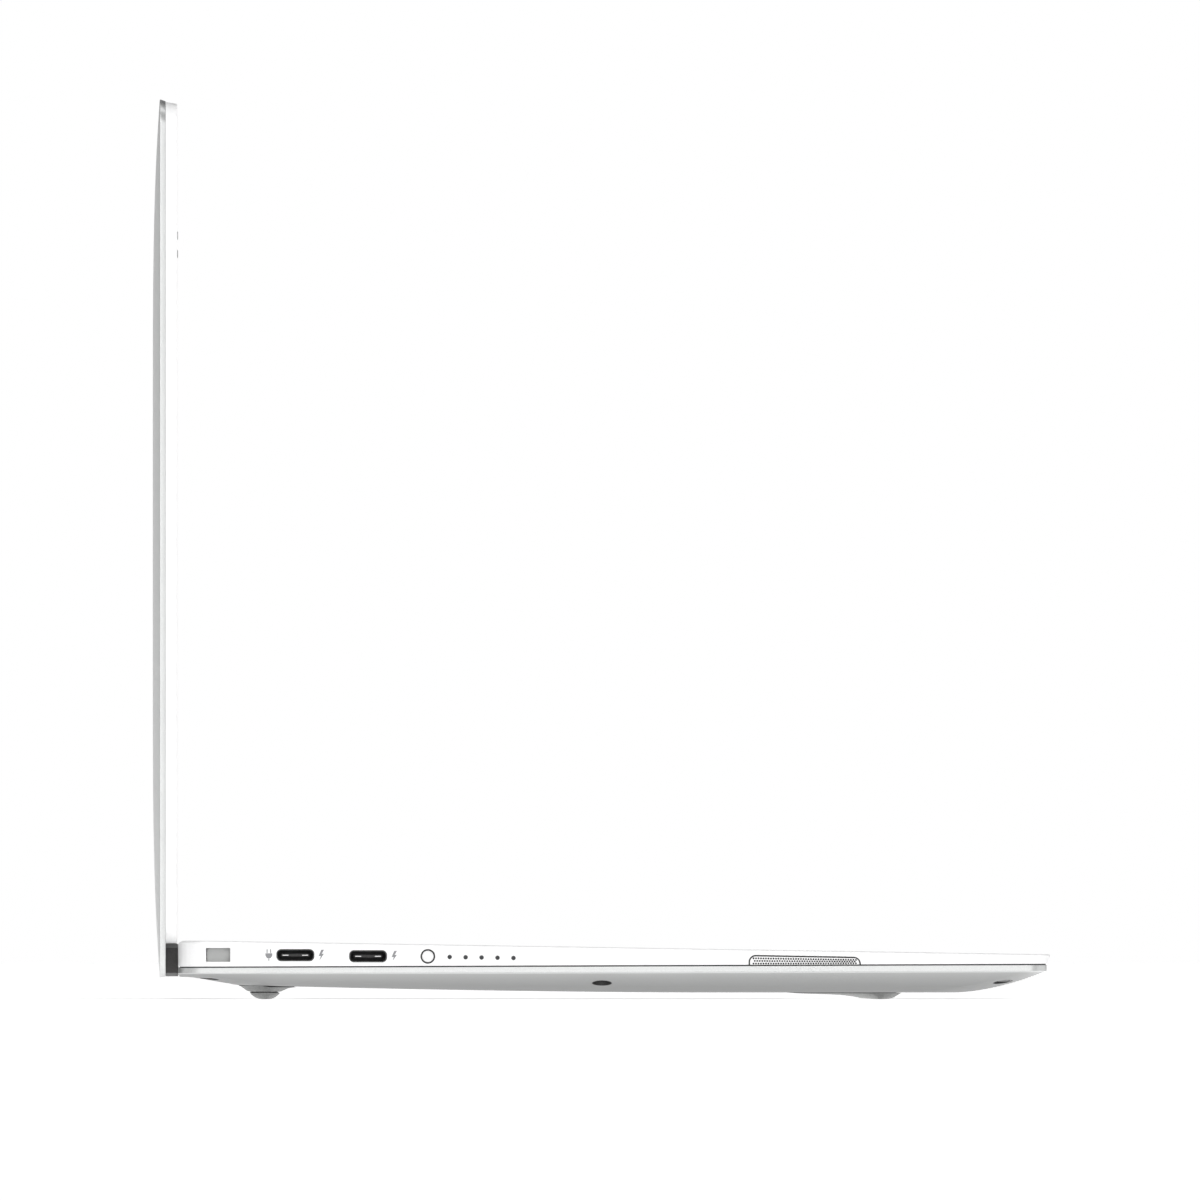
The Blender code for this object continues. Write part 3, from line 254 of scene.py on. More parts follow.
def box(x0, x1, s0, s1, z0, z1):
    corners = ((x0, s0), (x1, s0), (x1, s1), (x0, s1))
    return loft([[(x, s, z) for x, s in corners] for z in (z0, z1)])


def side_box(side, inner, outer, *rest):
    """Box that lies from inner to outer on one side of the middle, -1 or 1."""
    return box(*sorted((side * inner, side * outer)), *rest)


def centred(a, b, width, height, radius, steps):
    return rounded(a - width / 2, a + width / 2, b - height / 2, b + height / 2, radius, steps)


def prism_x(outline, x0, x1):
    return loft([[(x, s, z) for s, z in outline] for x in (x0, x1)])


def prism_s(outline, s0, s1):
    return loft([[(x, s, z) for x, z in outline] for s in (s0, s1)])


def prism_z(outline, z0, z1):
    return loft([[(x, s, z) for x, s in outline] for z in (z0, z1)])


def turned(x, s, profile, steps):
    """Body turned about the vertical line through (x, s); the profile is (radius, z)."""
    return loft([[(px, ps, z) for px, ps in circle(x, s, radius, steps)] for radius, z in profile])


def turned_x(s, z, profile, steps):
    """Body turned about a line along X through (s, z); the profile is (radius, x)."""
    return loft([[(x, ps, pz) for ps, pz in circle(s, z, radius, steps)] for radius, x in profile])


def mirrored_plan(near, far, half, radius, stations=(), steps=14):
    """Rounded outline symmetric about x = 0: up the right side, then down the left."""
    right = []
    for i in range(steps + 1):
        angle = (i / steps - 1.0) * pi / 2
        right.append((half - radius + radius * cos(angle), near + radius + radius * sin(angle)))
    right += [(half, station) for station in stations]
    for i in range(steps + 1):
        angle = i / steps * pi / 2
        right.append((half - radius + radius * cos(angle), far - radius + radius * sin(angle)))
    return right + [(-x, s) for x, s in reversed(right)]


def plan_ring(near, far, half, radius, height, stations=()):
    return [(x, s, height(s)) for x, s in mirrored_plan(near, far, half, radius, stations)]


# ---------------------------------------------------------------- objects
def new_object(name, shapes, place=at):
    made = bmesh.new()
    for verts, faces in shapes:
        placed = [made.verts.new(place(*v)) for v in verts]
        for face in faces:
            made.faces.new([placed[i] for i in face])
    bmesh.ops.recalc_face_normals(made, faces=made.faces)
    mesh = bpy.data.meshes.new(name)
    made.to_mesh(mesh)
    made.free()
    obj = bpy.data.objects.new(name, mesh)
    bpy.context.scene.collection.objects.link(obj)
    return obj


def combine(obj, shapes, place=at, operation='DIFFERENCE'):
    """Cuts the shapes out of obj, or keeps only what it shares with them."""
    subtract(obj, new_object("tool", shapes, place), operation)


def bake(obj):
    depsgraph = bpy.context.evaluated_depsgraph_get()
    mesh = bpy.data.meshes.new_from_object(obj.evaluated_get(depsgraph))
    obj.modifiers.clear()
    obj.data = mesh


def subtract(obj, other, operation='DIFFERENCE'):
    """Cuts another object out of obj, or does another Boolean operation, and removes that object."""
    modifier = obj.modifiers.new("boolean", 'BOOLEAN')
    modifier.object = other
    modifier.operation = operation
    modifier.solver = 'EXACT'
    bake(obj)
    bpy.data.objects.remove(other)


def finish_piece(obj, finish, body, replaces=(), sharp=0.5):
    """Shading, material and the body it rides on."""
    obj.data.shade_smooth()
    obj.data.set_sharp_from_angle(angle=sharp)
    weighted = obj.modifiers.new("weighted", 'WEIGHTED_NORMAL')
    weighted.keep_sharp = True
    bake(obj)
    obj.data.materials.clear()
    obj.data.materials.append(finish)
    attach(obj, body)
    if replaces:
        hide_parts(*replaces)
    return obj


def piece(name, shapes, finish, body, replaces=(), place=at, sharp=0.5):
    return finish_piece(new_object(name, shapes, place), finish, body, replaces, sharp)


# ---------------------------------------------------------------- materials
class Nodes:
    """Short ways to add nodes to a tree and to link them."""

    def __init__(self, tree):
        self.tree = tree

    def node(self, kind, **settings):
        made = self.tree.nodes.new(kind)
        for key, value in settings.items():
            setattr(made, key, value)
        return made

    def link(self, output, socket):
        self.tree.links.new(output, socket)

    def split(self, vector):
        made = self.node("ShaderNodeSeparateXYZ")
        self.link(vector, made.inputs["Vector"])
        return [made.outputs[axis] for axis in "XYZ"]

    def math(self, operation, a, b):
        made = self.node("ShaderNodeMath", operation=operation)
        for socket, value in zip(made.inputs, (a, b)):
            if isinstance(value, (int, float)):
                socket.default_value = value
            else:
                self.link(value, socket)
        return made.outputs[0]

    def ramp(self, factor, stops, curve='LINEAR'):
        made = self.node("ShaderNodeValToRGB")
        made.color_ramp.interpolation = curve
        elements = made.color_ramp.elements
        while len(elements) < len(stops):
            elements.new(0.5)
        for element, (position, colour) in zip(elements, stops):
            element.position = position
            element.color = (*colour, 1.0)
        self.link(factor, made.inputs["Fac"])
        return made.outputs["Color"]

    def ranged(self, source, low, high, dark, light, curve='SMOOTHSTEP'):
        made = self.node("ShaderNodeMapRange", interpolation_type=curve)
        for socket, value in zip(made.inputs[1:5], (low, high, dark, light)):
            socket.default_value = value
        self.link(source, made.inputs["Value"])
        return made.outputs["Result"]


class Finish(Nodes):
    """A Principled material with its colour, roughness and bump worked out by nodes."""

    def __init__(self, name, roughness, metallic=0.0):
        self.material = bpy.data.materials.new(name)
        self.material.use_nodes = True
        super().__init__(self.material.node_tree)
        self.shader = self.tree.nodes["Principled BSDF"]
        self.set("Roughness", roughness)
        self.set("Metallic", metallic)
        self.place = self.node("ShaderNodeTexCoord").outputs["Object"]
        self.relief = None

    def set(self, socket, value):
        self.shader.inputs[socket].default_value = value

    def stretched(self, scale):
        mapping = self.node("ShaderNodeMapping")
        mapping.inputs["Scale"].default_value = scale
        self.link(self.place, mapping.inputs["Vector"])
        return mapping.outputs["Vector"]

    def noise(self, size_mm, detail=2.0, vector=None):
        """Noise whose features are about size_mm across."""
        texture = self.node("ShaderNodeTexNoise")
        texture.inputs["Scale"].default_value = 1.0 / (size_mm * MM)
        texture.inputs["Detail"].default_value = detail
        self.link(vector or self.place, texture.inputs["Vector"])
        return texture.outputs["Fac"]

    def wave(self, pitch_mm, direction):
        texture = self.node("ShaderNodeTexWave", bands_direction=direction)
        texture.inputs["Scale"].default_value = 2 * pi / (20.0 * pitch_mm * MM)
        texture.inputs["Distortion"].default_value = 0.6
        texture.inputs["Detail Scale"].default_value = 400.0
        self.link(self.place, texture.inputs["Vector"])
        return texture.outputs["Fac"]

    def colour(self, factor, stops):
        self.link(self.ramp(factor, stops), self.shader.inputs["Base Color"])

    def rough(self, factor, low, high):
        self.link(self.ranged(factor, 0.0, 1.0, low, high, 'LINEAR'), self.shader.inputs["Roughness"])

    def bump(self, height, depth_mm, strength=1.0):
        made = self.node("ShaderNodeBump")
        made.inputs["Strength"].default_value = strength
        made.inputs["Distance"].default_value = depth_mm * MM
        self.link(height, made.inputs["Height"])
        if self.relief:
            self.link(self.relief, made.inputs["Normal"])
        self.relief = made.outputs["Normal"]
        self.link(self.relief, self.shader.inputs["Normal"])


def grey(value, tint=0.0):
    """Nearly neutral colour; a positive tint leans to green, as anodised metal does."""
    return value * (1 - tint), value, value * (1 - tint / 2)


def silver_finish(name, painted_shade=False):
    """Blasted aluminium; the underside kind has painted shade, darker lower down and rearwards, and a painted
    highlight under the rim.
    """
    finish = Finish(name, 0.3, 0.75)
    grain = finish.noise(0.16, 1.0)
    cloud = finish.noise(14.0, 2.0)
    math = finish.math
    both = math('ADD', math('MULTIPLY', grain, 0.8), math('MULTIPLY', cloud, 0.2))
    levels = (0.3, 0.66), (0.5, 0.72), (0.72, 0.78)
    tone = finish.ramp(both, [(stop, grey(level, 0.012)) for stop, level in levels])
    if painted_shade:
        # Painted shade: a ramp of the height between the underside's flat and the rim multiplies the colour,
        # lowered towards the rear below the rim, with a painted highlight band just under the rim.
        _, y, z = finish.split(finish.place)
        back = math('MULTIPLY', math('SUBTRACT', y, FRONT_Y), 1.0 / MM)
        along = math('MAXIMUM', math('DIVIDE', math('SUBTRACT', back, RISE_START), RISE_LENGTH), 0.0)
        flat = math('ADD', math('MULTIPLY', math('POWER', along, RISE_POWER), UNDERSIDE_RISE), UNDERSIDE_Z)
        rim = math('ADD', math('MULTIPLY', back, STRIP_SLOPE), STRIP_FRONT_Z)
        above = math('SUBTRACT', math('MULTIPLY', z, 1.0 / MM), flat)
        height = math('DIVIDE', above, math('SUBTRACT', rim, flat))
        per_mm = REAR_SHADE / (BASE_REAR - REAR_SHADE_FROM)
        rear = math('MAXIMUM', math('MULTIPLY', math('SUBTRACT', back, REAR_SHADE_FROM), per_mm), 0.0)
        below = math('LESS_THAN', height, RIM_SHARE)
        height = math('SUBTRACT', height, math('MULTIPLY', rear, below))
        shade_mix = finish.node("ShaderNodeMix", data_type='RGBA', blend_type='MULTIPLY')
        shade_mix.inputs["Factor"].default_value = 1.0
        finish.link(tone, shade_mix.inputs[6])
        finish.link(finish.ramp(height, UNDERSIDE_SHADE), shade_mix.inputs[7])
        tone = shade_mix.outputs[2]
    finish.link(tone, finish.shader.inputs["Base Color"])
    finish.rough(both, 0.24, 0.36)
    finish.bump(grain, 0.004, 0.5)
    return finish.material


def white_deck_finish():
    finish = Finish("white_deck", 0.42)
    weave = finish.math('MULTIPLY', finish.wave(1.1, 'X'), finish.wave(1.1, 'Y'))
    grain = finish.noise(0.3, 3.0)
    mixed = finish.math('ADD', finish.math('MULTIPLY', weave, 0.5), finish.math('MULTIPLY', grain, 0.5))
    finish.colour(mixed, ((0.1, (0.85, 0.85, 0.852)), (0.9, grey(0.90))))
    finish.rough(mixed, 0.36, 0.5)
    finish.bump(grain, 0.003, 0.4)
    finish.set("Specular IOR Level", 0.4)
    return finish.material


def plain_finish(name, dark, light, size_mm, roughness, depth_mm, metallic=0.0, specular=0.5):
    """Moulded or cast surface: fine grain in colour, roughness and relief."""
    finish = Finish(name, roughness, metallic)
    grain = finish.noise(size_mm, 3.0)
    finish.colour(grain, ((0.3, dark), (0.7, light)))
    finish.rough(grain, roughness - 0.06, roughness + 0.06)
    finish.bump(grain, depth_mm, 0.6)
    finish.set("Specular IOR Level", specular)
    return finish.material


def brushed_finish(name, dark, light, roughness, along):
    finish = Finish(name, roughness, 1.0)
    lines = finish.noise(0.5, 2.0, finish.stretched(along))
    finish.colour(lines, ((0.3, dark), (0.7, light)))
    finish.rough(lines, roughness - 0.08, roughness + 0.1)
    finish.bump(lines, 0.003, 0.4)
    return finish.material


def screen_finish():
    finish = Finish("screen_glass", 0.1)
    haze = finish.noise(0.2, 2.0)
    cloud = finish.noise(60.0, 1.0)
    finish.colour(cloud, ((0.3, (0.010, 0.011, 0.014)), (0.7, (0.016, 0.016, 0.020))))
    finish.rough(haze, 0.08, 0.14)
    finish.bump(haze, 0.0005, 0.2)
    finish.set("Specular IOR Level", 0.35)
    return finish.material


# Painted shade and a painted highlight on the underside, by height from the flat of the underside (0) to the lower
# edge of the rim (1): darker lower down, a light band just below the rim; the rim itself takes the last one.
UNDERSIDE_SHADE = ((0.03, grey(0.29)), (0.47, grey(0.43)), (0.84, grey(0.54)), (0.94, grey(0.60)),
                   (0.965, grey(0.92)), (0.99, grey(0.92)), (1.0, grey(0.80)))
# Painted shade that deepens towards the rear of the underside, below the rim.
REAR_SHADE_FROM, REAR_SHADE, RIM_SHARE = 174.0, 0.5, 0.955
SILVER = silver_finish("silver_aluminium")
SILVER_PAINTED_SHADE = silver_finish("silver_underside_painted_shade", painted_shade=True)
WHITE = white_deck_finish()
KEY_WHITE = plain_finish("key_white", (0.78, 0.78, 0.782), grey(0.83), 0.25, 0.45, 0.004)
LEGEND = plain_finish("legend_grey", (0.20, 0.20, 0.21), (0.26, 0.26, 0.27), 0.2, 0.5, 0.001)
MARK = plain_finish("mark_grey", (0.22, 0.22, 0.23), (0.28, 0.28, 0.29), 0.2, 0.5, 0.001)
PAD_WHITE = plain_finish("touchpad_glass", (0.79, 0.79, 0.792), grey(0.83), 0.2, 0.30, 0.001)
GRILLE_WHITE = plain_finish("grille_white", grey(0.76), grey(0.82), 0.2, 0.45, 0.003)
DARK = plain_finish("dark_hinge", (0.035, 0.032, 0.032), (0.055, 0.05, 0.05), 0.3, 0.42, 0.006)
RUBBER = plain_finish("foot_rubber", (0.34, 0.343, 0.34), (0.44, 0.443, 0.44), 0.35, 0.7, 0.02,
                      specular=0.3)
LIP_GREY = plain_finish("lip_grey", grey(0.16), grey(0.2), 0.3, 0.5, 0.004)
LOCK_GREY = plain_finish("lock_grey", (0.39, 0.395, 0.39), (0.42, 0.425, 0.42), 2.5, 0.45, 0.002)
TRIM_GREY = plain_finish("trim_grey", (0.23, 0.232, 0.23), (0.29, 0.292, 0.29), 0.35, 0.6, 0.01,
                         specular=0.3)
BUTTON_WHITE = plain_finish("button_white", grey(0.79), grey(0.83), 0.25, 0.4, 0.003)
GASKET = plain_finish("gasket_grey", grey(0.02), grey(0.04), 0.4, 0.6, 0.004)
BLACK = plain_finish("black_plastic", grey(0.012), grey(0.03), 0.3, 0.5, 0.006)
LAMP = plain_finish("lamp_plastic", (0.03, 0.03, 0.033), (0.05, 0.05, 0.053), 0.1, 0.3, 0.001, specular=0.3)
LENS = plain_finish("lens_black", (0.006, 0.006, 0.008), (0.012, 0.012, 0.016), 0.2, 0.08, 0.001)
FILM = plain_finish("battery_film", (0.02, 0.02, 0.022), (0.04, 0.04, 0.042), 1.2, 0.35, 0.03)
PANEL = plain_finish("display_panel", (0.04, 0.04, 0.048), (0.06, 0.06, 0.068), 0.8, 0.4, 0.004)
BOARD = plain_finish("circuit_board", (0.015, 0.06, 0.03), (0.03, 0.10, 0.05), 1.5, 0.45, 0.02)
DARK_STEEL = brushed_finish("dark_steel", grey(0.06), grey(0.12), 0.35, (0.3, 1.0, 1.0))
BRIGHT_STEEL = brushed_finish("bright_steel", grey(0.62), grey(0.72), 0.3, (1.0, 1.0, 0.3))
STEEL = brushed_finish("steel", (0.42, 0.42, 0.43), (0.62, 0.62, 0.63), 0.32, (0.15, 1.0, 1.0))
SCREW_STEEL = brushed_finish("screw_steel", grey(0.2), grey(0.34), 0.3, (1.0, 1.0, 0.3))
COPPER = brushed_finish("copper", (0.62, 0.30, 0.19), (0.80, 0.45, 0.30), 0.3, (0.2, 1.0, 1.0))
SCREEN = screen_finish()


# ---------------------------------------------------------------- bottom cover
def cover_rings(wall, floor):
    def ring(near, back, half, radius, height):
        return plan_ring(near + wall, BASE_REAR - back - wall, half - wall, radius, height, SIDE_STATIONS)

    def rim(s):
        return seam_z(s) + (1.0 if wall else -SEAM_GAP / 2)

    rings = [ring(STRIP_FRONT - 0.12, 0.05, STRIP_HALF_WIDTH + 0.06, CORNER_RADIUS, rim)]
    if not wall:
        rings.append(ring(STRIP_FRONT - 0.18, 0.0, STRIP_HALF_WIDTH + 0.12, CORNER_RADIUS,
                          lambda s: rim(s) - 0.07))
    rings.append(ring(STRIP_FRONT - 0.16, 0.0, STRIP_HALF_WIDTH + 0.1, CORNER_RADIUS,
                      lambda s: strip_z(s) + floor + 0.1))
    for inset in UNDERSIDE_INSETS[3::2] if wall else UNDERSIDE_INSETS:
        rings.append(ring(STRIP_FRONT + inset, rear_inset(inset), STRIP_HALF_WIDTH - inset,
                          CORNER_RADIUS + 0.35 * inset, lambda s: underside_z(s, inset) + floor))
    return rings


def rear_step(depth, z0, z1):
    half = NOTCH_HALF + depth
    return box(-half, half, NOTCH_S - depth, BASE_REAR + 5.0, z0, z1)


def make_bottom_cover():
    cover = new_object("cover_shell", [loft(cover_rings(0.0, 0.0), ladder=True)])
    hollow = new_object("hollow", [loft(cover_rings(COVER_WALL, COVER_FLOOR), ladder=True)])
    combine(hollow, [rear_step(NOTCH_WALL, 0.0, 12.0)])
    combine(hollow, [turned(x, s, ((BOSS_R, 0.0), (BOSS_R, BOSS_TOP)), 24) for x, s in SCREWS])
    subtract(cover, hollow)
    combine(cover, [rear_step(0.0, 0.0, 20.0)])
    holes = []
    for x, s in SCREWS:
        z = screw_z(x, s)
        profile = ((SCREW_HOLE_R + 0.4, 0.0), (SCREW_HOLE_R, z + 0.15), (SCREW_HOLE_R, z + 1.1),
                   (1.1, z + 1.1), (1.1, BOSS_TOP + 1.0))
        holes.append(turned(x, s, profile, 40))
    combine(cover, holes)
    slots = []
    for side in (-1, 1):
        for i in range(SLOT_COUNT):
            x = side * FAN_X + (i - (SLOT_COUNT - 1) / 2) * SLOT_PITCH
            outline = rounded(x - SLOT_HALF_WIDTH, x + SLOT_HALF_WIDTH, FAN_S - SLOT_HALF_LENGTH,
                              FAN_S + SLOT_HALF_LENGTH, SLOT_HALF_WIDTH - 0.01, 8)
            slots.append(prism_z(outline, 0.5, 4.4))
    combine(cover, slots)
    finish_piece(cover, SILVER_PAINTED_SHADE, "base", ["bottom_cover"])


def make_screw_painted_shade():
    """Painted shade in the screws' recesses: black sleeves round the screws' heads, flush with the sloping
    underside.
    """
    sleeves, bores = [], []
    for x, s in SCREWS:
        top = screw_z(x, s) + SLEEVE_TOP
        sleeves.append(turned(x, s, ((SLEEVE_R, 0.0), (SLEEVE_R, top)), 40))
        bores.append(turned(x, s, ((SLEEVE_BORE_R, -1.0), (SLEEVE_BORE_R, top + 1.0)), 40))
    wells = new_object("screw_painted_shade", sleeves)
    combine(wells, bores)
    combine(wells, [loft(cover_rings(0.0, 0.0), ladder=True)], operation='INTERSECT')
    finish_piece(wells, BLACK, "base")


def make_screws():
    for number, (x, s) in enumerate(SCREWS, start=1):
        z = screw_z(x, s)
        profile = ((SCREW_HEAD_R - 0.4, z + 0.12), (SCREW_HEAD_R - 0.15, z + 0.18), (SCREW_HEAD_R, z + 0.4),
                   (SCREW_HEAD_R, z + 0.95), (SCREW_SHANK_R, z + 0.95), (SCREW_SHANK_R, BOSS_TOP - 0.3))
        screw = new_object(f"screw_{number}", [turned(x, s, profile, 40)])
        drive = []
        for i in range(12):
            angle = i / 12 * 2 * pi
            radius = 1.0 if i % 2 else 0.66
            drive.append((x + radius * cos(angle), s + radius * sin(angle)))
        combine(screw, [prism_z(drive, z - 0.5, z + 0.65)])
        finish_piece(screw, SCREW_STEEL, "base", [f"bottom_screw_{number}"])


def foot_shape(profile, nub, end_round, half=FOOT_HALF):
    """Strip along X whose ends are round seen from below, narrowing onto the line s = nub."""
    rings = []
    places = [(i / 8) ** 1.6 * end_round for i in range(9)]
    edges = [-half + d for d in places] + [half - d for d in reversed(places)]
    for x in edges:
        depth = min(half - abs(x), end_round) / end_round
        share = max(0.12, (1.0 - (1.0 - depth) ** 2) ** 0.5)
        rings.append([(x, nub + (s - nub) * share, z) for s, z in profile])
    return loft(rings)


def make_feet():
    piece("front_foot_pad", [foot_shape(FRONT_FOOT, 37.8, 7.0)], RUBBER, "base",
          ["front_foot"])
    piece("rear_foot_fairing", [foot_shape(REAR_FAIRING, 175.8, 5.0)], RUBBER, "base",
          ["rear_foot"])
    piece("rear_foot_neck", [foot_shape(REAR_NECK, 175.8, 4.0, FOOT_HALF - 0.6)], BLACK, "base")
    piece("rear_foot_pad", [foot_shape(REAR_NUB, 175.8, 4.0)], RUBBER, "base")


# ---------------------------------------------------------------- deck
def key_rows():
    """Cells of the keyboard: one list of (x0, x1, s0, s1) for each row, rear row first."""
    widths = [[2 * KEYS_HALF / 16] * 15,
              [UNIT] * 13 + [30.0],
              [28.5] + [UNIT] * 12 + [20.5],
              [32.5] + [UNIT] * 11 + [35.5],
              [42.5] + [UNIT] * 10 + [44.5],
              [23.5, UNIT, UNIT, 20.0, 99.5, UNIT, 20.0]]
    rows = []
    rear = KEYS_REAR
    for number, row in enumerate(widths):
        front = rear - (ROW_PITCH if number else TOP_ROW_PITCH)
        x = -KEYS_HALF
        cells = []
        for width in row:
            cells.append((x, x + width, front, rear))
            x += width
        rows.append(cells)
        rear = front
    middle = (rear + rear + ROW_PITCH) / 2
    for i in range(3):
        x = KEYS_HALF - (3 - i) * UNIT
        rows[-1].append((x, x + UNIT, rear, middle + KEY_GAP / 4))
        rows[-1].append((x, x + UNIT, middle - KEY_GAP / 4, rear + ROW_PITCH))
    return rows


def power_cell():
    width = 2 * KEYS_HALF / 16
    return KEYS_HALF - width, KEYS_HALF, KEYS_REAR - TOP_ROW_PITCH, KEYS_REAR


def shrink(cell, margin):
    x0, x1, s0, s1 = cell
    return x0 + margin, x1 - margin, s0 + margin, s1 - margin


def flared(cell, radius, low, high, flare):
    """Cutter with round corners that opens out by `flare` just below the height `high`."""
    rings = []
    for margin, height in ((0.0, low), (0.0, high - flare), (-flare, high), (-flare, high + 4.0)):
        outline = rounded(*shrink(cell, margin), radius - margin, 5)
        rings.append([(x, s, height) for x, s in outline])
    return loft(rings)


def grille_outline(gap, steps=8):
    front, rear = GRILLE_FRONT + gap, GRILLE_REAR - gap
    below = -1.0 if gap == 0.0 else SEAM_GAP / 2
    radius = GRILLE_RADIUS - gap
    points = [(front, seam_z(front) + below)]
    for centre, top, start in ((front + radius, GRILLE_FRONT_TOP - gap, pi),
                               (rear - radius, GRILLE_REAR_TOP - gap, pi / 2)):
        for i in range(steps + 1):
            angle = start - i / steps * pi / 2
            points.append((centre + radius * cos(angle), top - radius + radius * sin(angle)))
    points.append((rear, seam_z(rear) + below))
    return points


def port_outline(s, z, width, height):
    return centred(s, z, width, height, height * PORT_ROUNDING, 8)


def mouth(outline, side, flare=0.0):
    """Cutter through a side wall from outside, a little wider at the wall's face."""
    count = len(outline)
    middle_s = sum(s for s, z in outline) / count
    middle_z = sum(z for s, z in outline) / count
    wide = []
    for s, z in outline:
        away = hypot(s - middle_s, z - middle_z)
        wide.append((s + (s - middle_s) / away * flare, z + (z - middle_z) / away * flare))
    face = wall_x(middle_s, middle_z) + 0.02
    rings = [(side * (HALF_WIDTH + 2.0), wide)]
    if flare:
        rings += [(side * face, wide), (side * (face - flare), outline)]
    rings.append((side * (HALF_WIDTH - 3.0), outline))
    return loft([[(x, s, z) for s, z in ring] for x, ring in rings])


def make_deck():
    def above(height):
        return lambda s: deck_z(s) + height

    def seam(height):
        return lambda s: seam_z(s) + SEAM_GAP / 2 + height

    far, half = BASE_REAR, HALF_WIDTH
    outside = [plan_ring(0.72, far - 0.07, half - 0.33, CORNER_RADIUS, seam(0.0)),
               plan_ring(0.62, far, half - 0.25, CORNER_RADIUS, seam(0.08)),
               plan_ring(0.28, far, half, CORNER_RADIUS, above(-0.9)),
               plan_ring(0.04, far - 0.2, half, CORNER_RADIUS, above(-0.55)),
               plan_ring(0.0, far - 0.55, half - 0.02, CORNER_RADIUS, above(-0.3)),
               plan_ring(0.08, far - 1.0, half - 0.12, CORNER_RADIUS - 0.1, above(-0.12)),
               plan_ring(0.24, far - 1.5, half - 0.28, CORNER_RADIUS - 0.3, above(-0.03)),
               plan_ring(0.45, far - 2.0, half - 0.45, CORNER_RADIUS - 0.4, above(0.0))]
    cover = new_object("deck_shell", [loft(outside, ladder=True)])
    wall = DECK_WALL
    hollow = [plan_ring(0.63 + wall, far - wall, half - wall, CORNER_RADIUS - wall,
                        lambda s: seam_z(s) - 1.0),
              plan_ring(0.4 + wall, far - wall, half - wall, CORNER_RADIUS - wall, above(-DECK_PLATE))]
    hollow = new_object("hollow", [loft(hollow, ladder=True)])
    combine(hollow, [rear_step(NOTCH_WALL, 0.0, 20.0)])
    subtract(cover, hollow)
    combine(cover, [rear_step(0.0, 0.0, 20.0)])

    keys_front = KEYS_REAR - TOP_ROW_PITCH - 5 * ROW_PITCH
    well = (-KEYS_HALF - 0.2, KEYS_HALF + 0.2, keys_front - 0.2, KEYS_REAR + 0.2)
    combine(cover, [flared(well, 1.8, -WELL_DEPTH, 0.0, 0.25)], on_deck)
    margin = KEY_GAP / 2 - KEY_CLEARANCE
    # A cutter whose widest ring lies in the floor of the well itself leaves a skin over some openings.
    cells = [cell for row in key_rows() for cell in row] + [power_cell()]
    openings = [flared(shrink(cell, margin), 0.9, -6.0, OPENING_LIP - WELL_DEPTH, 0.12) for cell in cells]
    openings.append(flared((-PAD_HALF, PAD_HALF, PAD_FRONT, PAD_REAR), 1.6, -6.0, 0.0, 0.2))
    combine(cover, openings, on_deck)

    thin = HALF_WIDTH - 0.6
    pockets, mouths = [], []
    for side, s, z in PORTS.values():
        pockets.append(prism_x(centred(s, z, 9.6, 3.8, 1.6, 4), side * thin, side * (HALF_WIDTH - 9.0)))
        mouths.append(mouth(port_outline(s, z, PORT_WIDTH, PORT_HEIGHT), side, 0.08))
    pockets.append(prism_x(circle(JACK_S, JACK_Z, 2.45, 32), thin, 138.8))
    lock_seat = rounded(LOCK_S - 3.6, LOCK_S + 2.7, LOCK_Z - 2.4, LOCK_Z + 2.3, 0.6, 3)
    pockets.append(prism_x(lock_seat, -(HALF_WIDTH - DECK_WALL), -(HALF_WIDTH - 3.4)))
    mouths.append(mouth(circle(JACK_S, JACK_Z, JACK_HOLE_R, 40), 1, 0.15))
    mouths.append(mouth(centred(CARD_S, CARD_Z, CARD_WIDTH, CARD_HEIGHT, 0.3, 4), 1, 0.1))
    mouths.append(mouth(centred(LOCK_S, LOCK_Z, LOCK_WIDTH, LOCK_HEIGHT, 0.15, 3), -1, 0.05))
    mouths.append(mouth(circle(BUTTON_S, BUTTON_Z, BUTTON_HOLE_R, 40), -1, 0.06))
    for i in range(LAMP_COUNT):
        s = LAMP_FIRST_S - i * LAMP_PITCH
        mouths.append(mouth(circle(s, deck_z(s) - LAMP_BELOW_DECK, LAMP_HOLE_R, 20), -1))
    for side in (-1, 1):
        mouths.append(mouth(grille_outline(0.0), side))
    combine(cover, pockets)
    combine(cover, mouths)

    windows = []
    for side in (-1, 1):
        for inner, outer, z0, z1 in (HINGE_WINDOW, EXHAUST_WINDOW):
            windows.append(side_box(side, inner, outer, NOTCH_S - NOTCH_WALL - 1.1, NOTCH_S + 1.0, z0, z1))
    combine(cover, windows)
    finish_piece(cover, WHITE, "base", ["top_cover"])


def make_seam_gasket():
    """Dark seal that closes the parting line a little way in."""
    def seam(height):
        return lambda s: seam_z(s) + height

    outer = [plan_ring(0.95, BASE_REAR - 0.4, HALF_WIDTH - 0.6, CORNER_RADIUS - 0.4,
                       seam(h)) for h in (-0.16, 0.16)]
    inner = [plan_ring(1.5, BASE_REAR - 0.95, HALF_WIDTH - 1.15, CORNER_RADIUS - 0.9,
                       seam(h)) for h in (-0.3, 0.3)]
    gasket = new_object("seam_gasket", [loft(outer, ladder=True)])
    combine(gasket, [loft(inner, ladder=True)])
    combine(gasket, [rear_step(0.3, 0.0, 20.0)])
    finish_piece(gasket, GASKET, "base")


